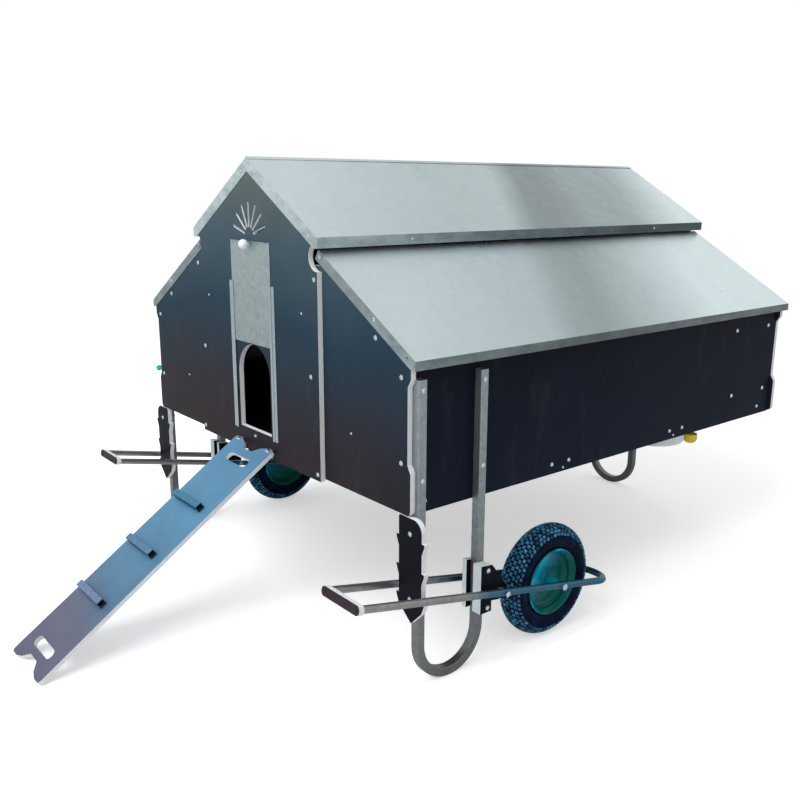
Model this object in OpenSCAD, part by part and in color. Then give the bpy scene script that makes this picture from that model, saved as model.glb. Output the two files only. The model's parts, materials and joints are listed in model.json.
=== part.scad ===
// Mobile hen house of film-faced plywood and galvanised sheet, on three bent tube legs,
// with two lever-mounted wheels that lift it for moving.
// Millimetres. Z is up, the pop-hole faces -Y, and the origin is on the ground,
// in the middle of the whole outline, ramp included.

/* [House] */
// Length over the two gable panels
house_l = 2076; // [1500:10:2600]
// Height of the ridge above the ground
ridge_h = 1590; // [1450:5:1800]
// Pitch of all the roof sheets, degrees
roof_pitch = 30.6; // [26:0.2:34]
// Thickness of the plywood panels
ply = 18; // [12:1:21]
// Width of each gable panel
gable_w = 824; // [700:2:900]
// Height of the gable panels' bottom edge above the ground
gable_base = 553; // [530:1:558]
// Width over the wing panels
wing_w = 1696; // [1500:2:1800]
// Height of the wing panels' bottom edge above the ground
wing_base = 560; // [559:1:568]
// How far a wing panel reaches behind the gable panel
wing_lap = 72; // [60:1:80]
// How far the side walls stand inside the wing panels' edges
side_inset = 14; // [8:1:20]
// Height of the floor's top above the ground
floor_top = 600; // [598:1:604]
// Rounding of the wing panels' bottom corners
wing_corner_r = 16; // [5:1:25]
// Bottom of the finger recess in the wing panels' edges
recess_low = 714; // [690:1:760]
// Drop from the ridge to the top of the finger recess
recess_drop = 646; // [630:1:710]
// Height of the slope at each end of the recess
recess_run = 24; // [10:1:40]

/* [Roof and lids] */
// Thickness of the galvanised sheet
sheet_t = 1.5; // [1:0.1:2]
// Half width of the upper roof, out to its eave flange
eave_x = 418; // [416:1:425]
// Depth of the upper roof's gable flanges, square to the slope
gable_flange = 40; // [36:1:48]
// Depth of the upper roof's eave flanges
eave_flange = 34; // [30:1:36]
// Width of the lip that folds over the ridge
ridge_lip = 15; // [10:1:25]
// How far the lids lie below the plane of the upper roof
lid_drop = 52; // [48:1:56]
// Half width over the lids
lid_x = 869; // [860:1:880]
// Depth of the lids' gable flanges, square to the slope
lid_flange = 34; // [30:1:36]
// Depth of the lids' eave flanges
lid_eave = 28; // [20:1:32]
// Distance of a lid's pivot from the lid's upper end, along the slope
pivot_in = 23; // [21:0.5:26]
// Depth of the pivot below the lid's top face
pivot_drop = 12; // [11:0.5:14]
// Half distance between the two lid pivots
pivot_x = 410; // [405:1:412]
// Radius of the hand-sized notch round each lid pivot
notch_r = 45; // [42:1:50]
// Radius of the lid pivot pins
pivot_pin_r = 3; // [2.5:0.5:4]

/* [Pop-hole and door] */
// Width of the pop-hole
hole_w = 216; // [180:2:230]
// Height of the pop-hole's sill above the ground
sill_h = 638; // [630:1:650]
// Height of the pop-hole, sill to the top of its arch
hole_h = 314; // [280:2:320]
// Width of the sliding door
door_w = 264; // [256:2:280]
// Height of the sliding door
door_h = 357; // [340:1:370]
// Height of the raised door's bottom edge above the ground
door_up = 955; // [954:1:960]
// Width of the door's turned-out top lip
door_lip = 8; // [5:1:9]
// Diameter of the ball on the door
ball_d = 34; // [20:1:36]
// Length of the door guides
guide_l = 542; // [520:2:560]
// Width of the guides' lips in front of the door
guide_lip = 10; // [6:1:14]
// Width of the guides' screwed flanges
guide_flange = 18; // [14:1:24]
// Play of the door in its guides, all round
door_play = 0.5; // [0.3:0.1:1]

/* [Vent] */
// Number of vent slots in each gable
vent_n = 7; // [5:1:9]
// Width of a vent slot
vent_w = 9; // [6:1:12]
// Radius at which the vent slots start
vent_r0 = 34; // [30:1:50]
// Radius at which the vent slots end
vent_r1 = 108; // [80:1:120]

/* [Ramp] */
// Length of the ramp from its hinge to its foot
ramp_l = 1024; // [900:2:1200]
// Thickness of the ramp
ramp_t = 15; // [12:1:18]
// Width of the ramp
ramp_w = 262; // [220:2:280]
// Height of the ramp's hinge above the ground
hinge_z = 583; // [580:1:590]
// Distance of the hinge's axis from the gable
hinge_y = 13; // [13:0.5:16]
// Distance between the ramp's two hinges
hinge_gap = 206; // [190:2:208]
// Radius of the ramp's hinge pins
hinge_pin_r = 4; // [3:0.5:4.5]
// Length of a hand slot in the ramp
slot_l = 144; // [90:2:150]
// Width of a hand slot in the ramp
slot_w = 35; // [28:1:40]
// Distance of a hand slot from the end of the ramp
slot_in = 78; // [70:1:90]
// Depth of the notch between the ears at each end of the ramp
ear_notch = 36; // [25:1:40]
// Side of the square tubes used as treads
tread = 25; // [20:1:30]
// Length of a tread
tread_l = 186; // [150:2:200]
// Distance of the treads from the ramp's left edge
tread_in = 24; // [10:1:40]
// Distance from the hinge to the first tread
tread_first = 300; // [250:5:320]
// Spacing of the treads
tread_pitch = 217; // [180:5:220]

/* [Legs] */
// Side of the square leg tubes
tube = 30; // [25:1:35]
// Wall of the leg and lever tubes
tube_wall = 2; // [1.5:0.5:3]
// Rounding of the leg tubes' corners
tube_r = 3; // [2.5:0.5:4]
// Distance between the two uprights of a leg
leg_gap = 243; // [220:1:260]
// Drop from the ridge to the side legs' tops
leg_drop = 623; // [615:1:670]
// Height of the lower leg bolts above the ground
leg_bolt_low = 667; // [660:1:700]
// Drop from the ridge to the upper leg bolts
leg_bolt_drop = 654; // [645:1:700]

/* [Wheels and levers] */
// Outer radius of the tyres
tyre_r = 195; // [180:1:205]
// Width of the tyres
tyre_w = 98; // [85:1:102]
// Radius of the rims' lips
rim_r = 116; // [110:1:120]
// Distance of the wheel's axle from the front of the house
axle_y = 615; // [590:5:650]
// Radius of the axle bolts
axle_r = 8; // [6:0.5:9]
// Running clearance of bores on their pins
run_fit = 0.05; // [0.02:0.01:0.1]
// Diameter of the lever tubes
lever_d = 24; // [20:1:25]
// Distance between the two tubes of a lever
lever_gap = 152; // [150:1:160]
// Slope of the levers at rest, degrees
lever_tilt = 12; // [10:0.5:13]
// Length of a lever from the axle to its front end
lever_l = 851; // [800:1:880]
// Distance from the axle to the centre of the lever's bend
bend_l = 204; // [200:1:230]
// Distance of the lever's pivot from the front of the house
pivot_y = 342; // [338:1:350]
// Radius of the lever's pivot bolts
pivot_bolt_r = 6; // [5:0.5:7]
// Height between two steps of the notched plate
notch_step = 93; // [80:1:94]
// Depth of the teeth of the notched plate
tooth = 11; // [8:1:14]

/* [Inside] */
// Distance of the perches' centres from the wing panels' inner edges
perch_in = 22; // [22:1:40]
// Height of the perches' centres above the ground
perch_z = 1098; // [1000:1:1120]
// Side of a perch
perch = 40; // [32:1:44]
// Half distance between the two nest boards
nest_x = 560; // [540:1:600]
// Height of the nest boards
nest_h = 178; // [150:1:200]
// Height of the dividers between the nests
divider_h = 286; // [200:2:320]
// Radius of the water tank
tank_r = 125; // [110:1:126]
// Height of the water tank's bottom above the ground
tank_base = 480; // [470:1:500]
// Height of the water tank
tank_h = 350; // [300:5:380]

/* [Hidden] */
$fn = 48;

// Colours
ply_face = [0.16, 0.18, 0.22];
ply_edge = [0.80, 0.78, 0.74];
galvanised = [0.68, 0.73, 0.74];
tube_grey = [0.50, 0.51, 0.51];
zinc = [0.82, 0.85, 0.88];
timber = [0.74, 0.60, 0.42];
rubber = [0.05, 0.06, 0.08];
rim_green = [0.02, 0.22, 0.20];
white_plastic = [0.92, 0.93, 0.95];
cup_yellow = [0.90, 0.76, 0.06];
knob_turquoise = [0.05, 0.62, 0.55];

// Gap between faces that rest on each other
seat = 0.3;
// Gap between faces that slide or swing past each other
run_gap = 0.5;

// Slope of the roof
slope = tan(roof_pitch);
// Unit vector square to the right-hand slope, pointing up
nx = sin(roof_pitch);
nz = cos(roof_pitch);
function roof_z(x) = ridge_h - abs(x) * slope;
function lid_z(x) = roof_z(x) - lid_drop;
// Undersides of the sheets, a gap lower
function under_roof(x) = roof_z(x) - (sheet_t + seat) / nz;
function under_lid(x) = lid_z(x) - (sheet_t + run_gap) / nz;

wing_x = wing_w / 2;
side_x = wing_x - side_inset;
wing_in = gable_w / 2 - wing_lap;
recess_high = ridge_h - recess_drop;
leg_top = ridge_h - leg_drop;
leg_bolt_z = [leg_bolt_low, ridge_h - leg_bolt_drop];
perch_x = wing_in - perch_in;
rear_in = house_l - ply;
inner_y0 = 2 * ply;
inner_y1 = house_l - 2 * ply;
floor_t = ply;
floor_base = floor_top - floor_t;

// Foot of the pivot on the lid's top face, and the pivot
pivot_foot_x = pivot_x + pivot_drop * nx;
pivot_z = lid_z(pivot_foot_x) - pivot_drop * nz;
lid_in = pivot_foot_x - pivot_in * nz;
tongue_r = pivot_drop - sheet_t - run_gap;
shelf_z = pivot_z - 27;

leg_x = side_x + tube / 2;
leg_y = inner_y0 + tube / 2;
leg_y2 = leg_y + leg_gap;
rear_leg_y = house_l + tube / 2;

axle_z = tyre_r;
lever_z = axle_z + (axle_y - pivot_y) * tan(lever_tilt);
lever_in = lever_gap / 2 - lever_d / 2;
plate_y = inner_y0 - ply / 2;
tip_x = lever_in - run_gap;
// Lowest ledge: the underside of the lever's tube where it passes the plate
ledge_z = axle_z + (axle_y - plate_y) * tan(lever_tilt) - lever_d / 2 / cos(lever_tilt) - run_gap;

// Ramp angle at which its foot lies on the ground
ramp_reach = sqrt(ramp_l * ramp_l + ramp_t * ramp_t / 4);
ramp_angle = asin(hinge_z / ramp_reach) - atan(ramp_t / 2 / ramp_l);

// Bolts
bolt_r = 4;
head_r = 8;
head_h = 5;
nut_h = 6;
screw_r = 2;
screw_head_r = 4.5;
screw_head_h = 2;

// Outermost points along the house, for the origin
front_end = -hinge_y - ramp_l * cos(ramp_angle) - ramp_t / 2 * sin(ramp_angle);
rear_end = house_l + seat + tube + head_h;
mid_y = (front_end + rear_end) / 2;

module in_frame() {
    translate([0, -mid_y, 0]) children();
}

// Extrudes an outline drawn in X and Z towards +Y
module slab_y(y0, t) {
    translate([0, y0 + t, 0]) rotate([90, 0, 0]) linear_extrude(t) children();
}

// Extrudes an outline drawn in Y and Z towards +X
module slab_x(x0, t) {
    translate([x0, 0, 0]) rotate([90, 0, 90]) linear_extrude(t) children();
}

module rounded_square(side, r) {
    square([side, side - 2 * r], center = true);
    square([side - 2 * r, side], center = true);
    for (x = [-1, 1], y = [-1, 1])
        translate([x, y] * (side / 2 - r)) circle(r);
}

// Dome-headed bolt along -Z with its head above z = 0 and its nut under the grip
module bolt(grip, r = bolt_r, hr = head_r, hh = head_h, nh = nut_h) {
    rotate_extrude() polygon([[0, hh], [hr * 0.55, hh * 0.9], [hr * 0.85, hh * 0.6], [hr, 0],
        [r, 0], [r, -grip - nh - 2], [0, -grip - nh - 2]]);
    translate([0, 0, -grip - nh]) cylinder(h = nh, r = hr * 0.85, $fn = 6);
}

module screw(length, r = screw_r, hr = screw_head_r, hh = screw_head_h) {
    point = min(2 * r, length / 3);
    rotate_extrude() polygon([[0, hh], [hr * 0.7, hh * 0.8], [hr, 0], [r, 0],
        [r, -length + point], [0, -length]]);
}

// Places what follows with its local Z pointing out of the front, the rear or a side
module on_front(x, y, z) {
    translate([x, y, z]) rotate([90, 0, 0]) children();
}

module on_rear(x, y, z) {
    translate([x, y, z]) rotate([-90, 0, 0]) children();
}

module on_side(s, x, y, z) {
    translate([s * x, y, z]) rotate([0, s * 90, 0]) children();
}

// Bolts that join the wing panels to the gable panels: distance from the gable's edge, height.
// The upper bolts keep their drop from the ridge
lap_bolts = [[15, 575], [45, 898], [17, ridge_h - 378]];
// Bolts through the wing panels alone: distance from the wing's edge, height
wing_bolts = [[42, 714], [42, ridge_h - 621], [162, ridge_h - 523]];
// Small screws into the nest boards and the perches: distance from the middle, height
nest_screw_z = floor_top + nest_h - 29;

module lap_holes(y0, t) {
    for (s = [-1, 1], b = lap_bolts)
        translate([s * (gable_w / 2 - b[0]), y0 - 1, b[1]]) rotate([-90, 0, 0])
            cylinder(h = t + 2, r = bolt_r + 0.2);
}

module gable_outline() {
    difference() {
        polygon([[-gable_w / 2, gable_base], [gable_w / 2, gable_base],
            [gable_w / 2, under_roof(gable_w / 2)], [0, under_roof(0)],
            [-gable_w / 2, under_roof(gable_w / 2)]]);
        for (s = [-1, 1])
            translate([s * pivot_x, pivot_z]) circle(notch_r);
    }
}

module vent_fan() {
    step = 180 / (vent_n - 1) * 0.82;
    for (k = [0 : vent_n - 1])
        translate([0, door_up + door_h + 18])
            rotate((k - (vent_n - 1) / 2) * step) {
                translate([-vent_w / 2, vent_r0]) square([vent_w, vent_r1 - vent_r0]);
                for (r = [vent_r0, vent_r1])
                    translate([0, r]) circle(vent_w / 2, $fn = 24);
            }
}

module pop_hole() {
    arch_r = hole_w / 2;
    translate([-arch_r, sill_h]) square([hole_w, hole_h - arch_r]);
    translate([0, sill_h + hole_h - arch_r]) circle(arch_r);
}

module gable_panel(y0) {
    difference() {
        slab_y(y0, ply) difference() {
            gable_outline();
            vent_fan();
        }
        lap_holes(y0, ply);
        for (s = [-1, 1])
            translate([s * perch_x, y0 - 1, perch_z]) rotate([-90, 0, 0])
                cylinder(h = ply + 2, r = screw_r + 0.1);
        for (s = [0, 1]) mirror([s, 0, 0]) gable_screw_spots()
            cylinder(h = 3 * ply, r = screw_r + 0.1, center = true);
    }
}

// The ramp brackets' bolts lie below the floor
bracket_drop = 12;

// Peg below the pop-hole: a bolt whose head stands off the gable
peg_x = 3;
peg_z = sill_h - 19;
peg_l = 5;

module front_gable() in_frame() color(ply_face) difference() {
    gable_panel(0);
    slab_y(-1, ply + 2) pop_hole();
    for (s = [-1, 1]) {
        translate([s * hinge_gap / 2, -1, hinge_z - bracket_drop]) rotate([-90, 0, 0])
            cylinder(h = ply + 2, r = bolt_r + 0.2);
        for (z = guide_screw_z)
            translate([s * guide_screw_x, -1, z]) rotate([-90, 0, 0])
                cylinder(h = guide_screw_l + 2, r = screw_r + 0.1);
    }
    translate([peg_x, -1, peg_z]) rotate([-90, 0, 0]) cylinder(h = ply + 2, r = bolt_r + 0.2);
}

module rear_gable() in_frame() color(ply_face) difference() {
    gable_panel(rear_in);
    for (s = [-1, 1], z = leg_bolt_z)
        translate([s * leg_gap / 2, rear_in - 1, z]) rotate([-90, 0, 0])
            cylinder(h = ply + 2, r = bolt_r + 0.2);
}

module wing_outline() {
    r = wing_corner_r;
    polygon([[wing_in, wing_base], [wing_x - r, wing_base], [wing_x, wing_base + r],
        [wing_x, recess_low - recess_run], [side_x, recess_low], [side_x, recess_high],
        [wing_x, recess_high + recess_run], [wing_x, under_lid(wing_x)],
        [pivot_x + tongue_r * nx, pivot_z + tongue_r * nz], [pivot_x, pivot_z],
        [pivot_x - tongue_r, pivot_z], [pivot_x - tongue_r, shelf_z], [wing_in, shelf_z]]);
    translate([wing_x - r, wing_base + r]) circle(r);
    translate([pivot_x, pivot_z]) circle(tongue_r);
}

module wing_panel(y0) {
    difference() {
        slab_y(y0, ply) wing_outline();
        lap_holes(y0, ply);
        for (b = wing_bolts)
            translate([wing_x - b[0], y0 - 1, b[1]]) rotate([-90, 0, 0])
                cylinder(h = ply + 2, r = bolt_r + 0.2);
        translate([nest_x, y0 - 1, nest_screw_z]) rotate([-90, 0, 0])
            cylinder(h = ply + 2, r = screw_r + 0.1);
        translate([pivot_x, y0 - 1, pivot_z]) rotate([-90, 0, 0])
            cylinder(h = ply + 2, r = pivot_pin_r + run_fit);
    }
}

module front_wing_right() in_frame() color(ply_face) wing_panel(ply);
module front_wing_left() in_frame() color(ply_face) mirror([1, 0, 0]) wing_panel(ply);
module rear_wing_right() in_frame() color(ply_face) wing_panel(inner_y1);
module rear_wing_left() in_frame() color(ply_face) mirror([1, 0, 0]) wing_panel(inner_y1);

// Bolts in the side walls: the legs' own places, and the same pattern left free at the rear
free_y = [inner_y1 - 63 - 240, inner_y1 - 63];
// Bolts through the side walls into barrel nuts in the floor's edge
floor_bolt_y = [86, 646, 732, 1316, 1398, house_l - 130];
floor_bolt_z = floor_base + floor_t / 2;
floor_bolt_r = 3;
floor_bolt_l = 42;
barrel_in = 30;
barrel_r = 5;
barrel_l = floor_t - 3;
// Floor brackets: middle of each, along the house, and its screws
bracket_y = [704, 1344];
bracket_w = 40;
bracket_t = 3;
bracket_h = 22;
bracket_d = 44;
bracket_screw_z = floor_base - 12;

// The free bolts in a side wall, as their places along the house and their heights
side_bolt_places = [for (y = free_y, z = leg_bolt_z) [y, z]];
leg_bolt_places = [for (y = [leg_y, leg_y2], z = leg_bolt_z) [y, z]];

module side_wall() {
    difference() {
        slab_x(side_x - ply, ply) polygon([[inner_y0 + seat, wing_base - 3],
            [inner_y1 - seat, wing_base - 3], [inner_y1 - seat, under_lid(side_x) - 1],
            [inner_y0 + seat, under_lid(side_x) - 1]]);
        for (b = concat(side_bolt_places, leg_bolt_places))
            translate([side_x - ply - 1, b[0], b[1]]) rotate([0, 90, 0])
                cylinder(h = ply + 2, r = bolt_r + 0.2);
        for (y = floor_bolt_y)
            translate([side_x - ply - 1, y, floor_bolt_z]) rotate([0, 90, 0])
                cylinder(h = ply + 2, r = floor_bolt_r + 0.2);
        for (y = bracket_y)
            translate([side_x - ply - 1, y, bracket_screw_z]) rotate([0, 90, 0])
                cylinder(h = ply + 2, r = screw_r + 0.1);
    }
}

module side_wall_right() in_frame() color(ply_face) side_wall();
module side_wall_left() in_frame() color(ply_face) mirror([1, 0, 0]) side_wall();

tank_x = 632;
tank_y = 1506;

module floor_panel() in_frame() color(ply_face) difference() {
    inner_x = side_x - ply - seat;
    translate([0, 0, floor_base]) linear_extrude(floor_t) difference() {
        union() {
            translate([-inner_x, inner_y0 + seat])
                square([2 * inner_x, inner_y1 - inner_y0 - 2 * seat]);
            translate([-wing_in + seat, ply + seat])
                square([2 * (wing_in - seat), rear_in - ply - 2 * seat]);
        }
        translate([tank_x, tank_y]) circle(tank_r + 2, $fn = 96);
    }
    for (s = [-1, 1], y = bracket_y)
        translate([s * (side_x - ply - bracket_d * 0.6), y, floor_base - 1])
            cylinder(h = 13, r = screw_r + 0.1);
    for (s = [-1, 1], y = floor_bolt_y) {
        translate([s * (side_x - ply - floor_bolt_l / 2), y, floor_bolt_z])
            cross_hole(floor_bolt_r + 0.2, floor_bolt_l + 2);
        translate([s * (side_x - ply - barrel_in), y, floor_base - 1])
            cylinder(h = 1 + floor_t - 1, r = barrel_r + 0.2);
    }
}

// Bolt into the floor's edge with its head on the side wall, and its barrel nut
module floor_bolt() {
    bolt_l = ply + floor_bolt_l - 2;
    rotate_extrude() polygon([[0, head_h], [head_r * 0.5, head_h * 0.9], [head_r * 0.78, head_h * 0.6],
        [head_r * 0.9, 0], [floor_bolt_r, 0], [floor_bolt_r, -bolt_l], [0, -bolt_l]]);
    translate([0, 0, -ply - barrel_in]) cross_hole(barrel_r, barrel_l);
}

// Steel angle under the floor's edge
module floor_bracket() {
    difference() {
        union() {
            translate([side_x - ply - bracket_t, -bracket_w / 2, floor_base - bracket_h])
                cube([bracket_t, bracket_w, bracket_h]);
            translate([side_x - ply - bracket_d, -bracket_w / 2, floor_base - bracket_t])
                cube([bracket_d, bracket_w, bracket_t]);
        }
        translate([side_x - ply - bracket_t - 1, 0, bracket_screw_z])
            rotate([0, 90, 0]) cylinder(h = bracket_t + 2, r = screw_r + 0.1);
        translate([side_x - ply - bracket_d * 0.6, 0, floor_base - bracket_t - 1])
            cylinder(h = bracket_t + 2, r = screw_r + 0.1);
    }
}

module floor_brackets() in_frame() color(zinc)
    for (s = [0, 1], y = bracket_y)
        mirror([s, 0, 0]) translate([0, y, 0]) floor_bracket();

// Flange of a roof sheet at a gable: follows the slope and is cut level at the eave
module roof_flange_outline() {
    low = roof_z(eave_x) - eave_flange;
    drop = gable_flange / nz;
    polygon([[0, ridge_h], [eave_x, roof_z(eave_x)], [eave_x, low],
        [(ridge_h - drop - low) / slope, low], [0, ridge_h - drop]]);
}

module roof_half() {
    drop = sheet_t / nz;
    slab_y(-sheet_t - seat, house_l + 2 * (sheet_t + seat))
        polygon([[0, ridge_h], [eave_x, roof_z(eave_x)],
            [eave_x, roof_z(eave_x) - eave_flange],
            [eave_x - sheet_t, roof_z(eave_x) - eave_flange],
            [eave_x - sheet_t, roof_z(eave_x - sheet_t) - drop], [0, ridge_h - drop]]);
    for (y = [-sheet_t - seat, house_l + seat])
        slab_y(y, sheet_t) roof_flange_outline();
}

// Distances of the roof screws from the ridge, along X, and their places along the house
roof_screw_x = [55, 334];
former_in = [378, 356];
former_y = [former_in[0], house_l - former_in[1]];

// Cuts the holes of the right-hand roof screws
module roof_screw_spots() {
    for (x = roof_screw_x, y = former_y)
        translate([x, y, roof_z(x)]) rotate([0, roof_pitch, 0]) children();
}

module gable_screw_spots() {
    inset = gable_flange * 0.62;
    for (x = [34, eave_x - 50]) {
        z = roof_z(x) - inset / nz;
        on_front(x, -sheet_t - seat, z) children();
        on_rear(x, house_l + sheet_t + seat, z) children();
    }
}

module eave_screw_spots() {
    for (y = former_y)
        on_side(1, eave_x, y, roof_z(eave_x) - eave_flange / 2) children();
}

module roof_right() in_frame() color(galvanised) difference() {
    roof_half();
    roof_screw_spots() cylinder(h = 8, r = screw_r + 0.1, center = true);
    gable_screw_spots() cylinder(h = 8, r = screw_r + 0.1, center = true);
    eave_screw_spots() cylinder(h = 8, r = screw_r + 0.1, center = true);
}

// The left sheet carries the lip that folds over the ridge onto the right sheet
module roof_left() in_frame() color(galvanised) difference() {
    union() {
        mirror([1, 0, 0]) difference() {
            roof_half();
            translate([-1, -10, ridge_h - 60]) cube([1 + seat / 2, house_l + 20, 80]);
        }
        slab_y(-sheet_t - seat, house_l + 2 * (sheet_t + seat))
            polygon([[0, ridge_h + seat / nz], [ridge_lip * nz, ridge_h + seat / nz - ridge_lip * nz * slope],
                [ridge_lip * nz, ridge_h + (seat + sheet_t) / nz - ridge_lip * nz * slope],
                [0, ridge_h + (seat + sheet_t) / nz],
                [-ridge_lip * nz, ridge_h - ridge_lip * nz * slope],
                [-ridge_lip * nz, ridge_h - ridge_lip * nz * slope - sheet_t / 2],
                [-seat / 2, ridge_h - sheet_t / 2]]);
    }
    mirror([1, 0, 0]) {
        roof_screw_spots() cylinder(h = 8, r = screw_r + 0.1, center = true);
        gable_screw_spots() cylinder(h = 8, r = screw_r + 0.1, center = true);
        eave_screw_spots() cylinder(h = 8, r = screw_r + 0.1, center = true);
    }
}

roof_screw_l = 22;
flange_head_r = 7;

module roof_screws() in_frame() color(zinc)
    for (s = [0, 1]) mirror([s, 0, 0]) {
        roof_screw_spots() screw(roof_screw_l);
        gable_screw_spots() screw(roof_screw_l - 6, hr = flange_head_r, hh = 4);
        eave_screw_spots() screw(roof_screw_l);
    }

// Plywood former that stiffens the roof from inside, one at each row of roof screws
former_low = roof_z(eave_x) - eave_flange + 20;
former_band = 70;
former_foot = 160;

module former() {
    half = eave_x - sheet_t - 3;
    difference() {
        slab_y(-ply / 2, ply) difference() {
            polygon([[-half, former_low], [half, former_low], [half, under_roof(half)],
                [0, under_roof(0)], [-half, under_roof(half)]]);
            polygon([[-half + former_foot, former_low - 1], [half - former_foot, former_low - 1],
                [half - former_foot, former_low + 40], [0, under_roof(0) - former_band],
                [-half + former_foot, former_low + 40]]);
        }
        for (s = [0, 1]) mirror([s, 0, 0]) {
            for (x = roof_screw_x)
                translate([x, 0, roof_z(x)]) rotate([0, roof_pitch, 0])
                    translate([0, 0, -roof_screw_l - 1]) cylinder(h = roof_screw_l + 1, r = screw_r + 0.1);
            translate([eave_x, 0, roof_z(eave_x) - eave_flange / 2]) rotate([0, 90, 0])
                translate([0, 0, -roof_screw_l - 1]) cylinder(h = roof_screw_l + 1, r = screw_r + 0.1);
        }
    }
}

module roof_formers() in_frame() color(timber)
    for (y = former_y) translate([0, y, 0]) former();

// Lids: sheet, eave flange, and a flange at each gable that swings in front of the wing panel
lid_y0 = ply - run_gap - sheet_t;
lid_y1 = house_l - lid_y0;

module lid_flange_outline() {
    drop = lid_flange / nz;
    low = lid_z(lid_x) - lid_eave;
    polygon([[lid_in, lid_z(lid_in)], [lid_x - sheet_t - run_gap, lid_z(lid_x - sheet_t - run_gap)],
        [lid_x - sheet_t - run_gap, low], [lid_x - 14, low],
        [lid_x - 26, lid_z(lid_x - 26) - drop],
        [lid_in - lid_flange * nx, lid_z(lid_in) - lid_flange * nz]]);
}

module lid_sheet() {
    drop = sheet_t / nz;
    difference() {
        union() {
            slab_y(lid_y0, lid_y1 - lid_y0)
                polygon([[lid_in, lid_z(lid_in)], [lid_x, lid_z(lid_x)],
                    [lid_x, lid_z(lid_x) - lid_eave], [lid_x - sheet_t, lid_z(lid_x) - lid_eave],
                    [lid_x - sheet_t, lid_z(lid_x - sheet_t) - drop],
                    [lid_in - sheet_t * nx, lid_z(lid_in) - sheet_t * nz]]);
            for (y = [lid_y0, lid_y1 - sheet_t])
                slab_y(y, sheet_t) lid_flange_outline();
        }
        for (y = [lid_y0, lid_y1])
            translate([pivot_x, y, pivot_z]) rotate([90, 0, 0])
                cylinder(h = 8, r = pivot_pin_r + run_fit, center = true);
        lid_screw_spots() cylinder(h = 8, r = screw_r + 0.1, center = true);
        for (y = [lid_y0, lid_y1]) {
            translate([lid_x - 36, y, lid_z(lid_x - 36) - 16]) rotate([90, 0, 0])
                cylinder(h = 8, r = 3, center = true);
            translate([lid_rivet_x, y, lid_z(lid_rivet_x) - 16]) rotate([90, 0, 0])
                cylinder(h = 8, r = rivet_r + 0.1, center = true);
        }
    }
}

// Rivet in each lid flange, flush inside
lid_rivet_x = 680;
rivet_r = 2.5;

module lid_rivets() {
    z = lid_z(lid_rivet_x) - 16;
    on_front(lid_rivet_x, lid_y0, z) screw(sheet_t, r = rivet_r, hr = flange_head_r, hh = 3.5);
    on_rear(lid_rivet_x, lid_y1, z) screw(sheet_t, r = rivet_r, hr = flange_head_r, hh = 3.5);
}

// Two battens under each lid, with a screw at each end
lid_batten_w = 45;
lid_batten_t = 20;
lid_screw_x = [448, 757];

module lid_screw_spots() {
    for (x = lid_screw_x, y = former_y)
        translate([x, y, lid_z(x)]) rotate([0, roof_pitch, 0]) children();
}

module lid_battens() {
    length = (side_x - ply - 12 - lid_screw_x[0] + 14) / nz;
    difference() {
        for (y = former_y)
            translate([lid_screw_x[0] - 14, y - lid_batten_w / 2, lid_z(lid_screw_x[0] - 14)])
                rotate([0, roof_pitch, 0])
                    translate([0, 0, -sheet_t - seat - lid_batten_t])
                        cube([length, lid_batten_w, lid_batten_t]);
        lid_screw_spots() translate([0, 0, -roof_screw_l - 1])
            cylinder(h = roof_screw_l + 1, r = screw_r + 0.1);
    }
}

module lid_right() in_frame() color(galvanised) lid_sheet();
module lid_left() in_frame() color(galvanised) mirror([1, 0, 0]) lid_sheet();
module lid_battens_right() in_frame() color(timber) lid_battens();
module lid_battens_left() in_frame() color(timber) mirror([1, 0, 0]) lid_battens();
module lid_fasteners() {
    lid_screw_spots() screw(roof_screw_l - 4);
    lid_rivets();
}

module lid_screws_right() in_frame() color(zinc) lid_fasteners();
module lid_screws_left() in_frame() color(zinc) mirror([1, 0, 0]) lid_fasteners();

// Pins that the lids swing on, through the flange and the wing panel
module lid_pins() in_frame() color(zinc)
    for (s = [-1, 1]) {
        on_front(s * pivot_x, lid_y0 - run_gap, pivot_z) lid_pin();
        on_rear(s * pivot_x, lid_y1 + run_gap, pivot_z) lid_pin();
    }

module lid_pin() {
    grip = ply + sheet_t + 2 * run_gap;
    cylinder(h = 4, r = 7);
    translate([0, 0, -grip]) cylinder(h = grip, r = pivot_pin_r);
}

// Door and its guides, in front of the gable
door_y = -door_play;
guide_x = door_w / 2 + door_play;
guide_screw_x = guide_x + sheet_t + guide_flange * 0.55;
guide_base = sill_h - 12;
guide_screw_z = [for (k = [0 : 3]) guide_base + 14 + k * (guide_l - 28) / 3];
guide_screw_l = 14;

module door_guide() {
    front = door_y - sheet_t - door_play;
    translate([0, 0, guide_base]) linear_extrude(guide_l) {
        translate([guide_x + sheet_t - 0.01, -sheet_t - seat]) square([guide_flange, sheet_t]);
        translate([guide_x, front - sheet_t]) square([sheet_t, -front + sheet_t - seat]);
        translate([guide_x - guide_lip, front - sheet_t]) square([guide_lip + 0.01, sheet_t]);
    }
}

module drilled_guide() {
    difference() {
        door_guide();
        for (z = guide_screw_z)
            translate([guide_screw_x, 0, z]) rotate([90, 0, 0])
                cylinder(h = 8, r = screw_r + 0.1, center = true);
    }
}

module door_guide_right() in_frame() color(galvanised) drilled_guide();
module door_guide_left() in_frame() color(galvanised) mirror([1, 0, 0]) drilled_guide();

module guide_screws() in_frame() color(zinc)
    for (s = [-1, 1], z = guide_screw_z)
        on_front(s * guide_screw_x, -sheet_t - seat, z) screw(guide_screw_l);

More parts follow.
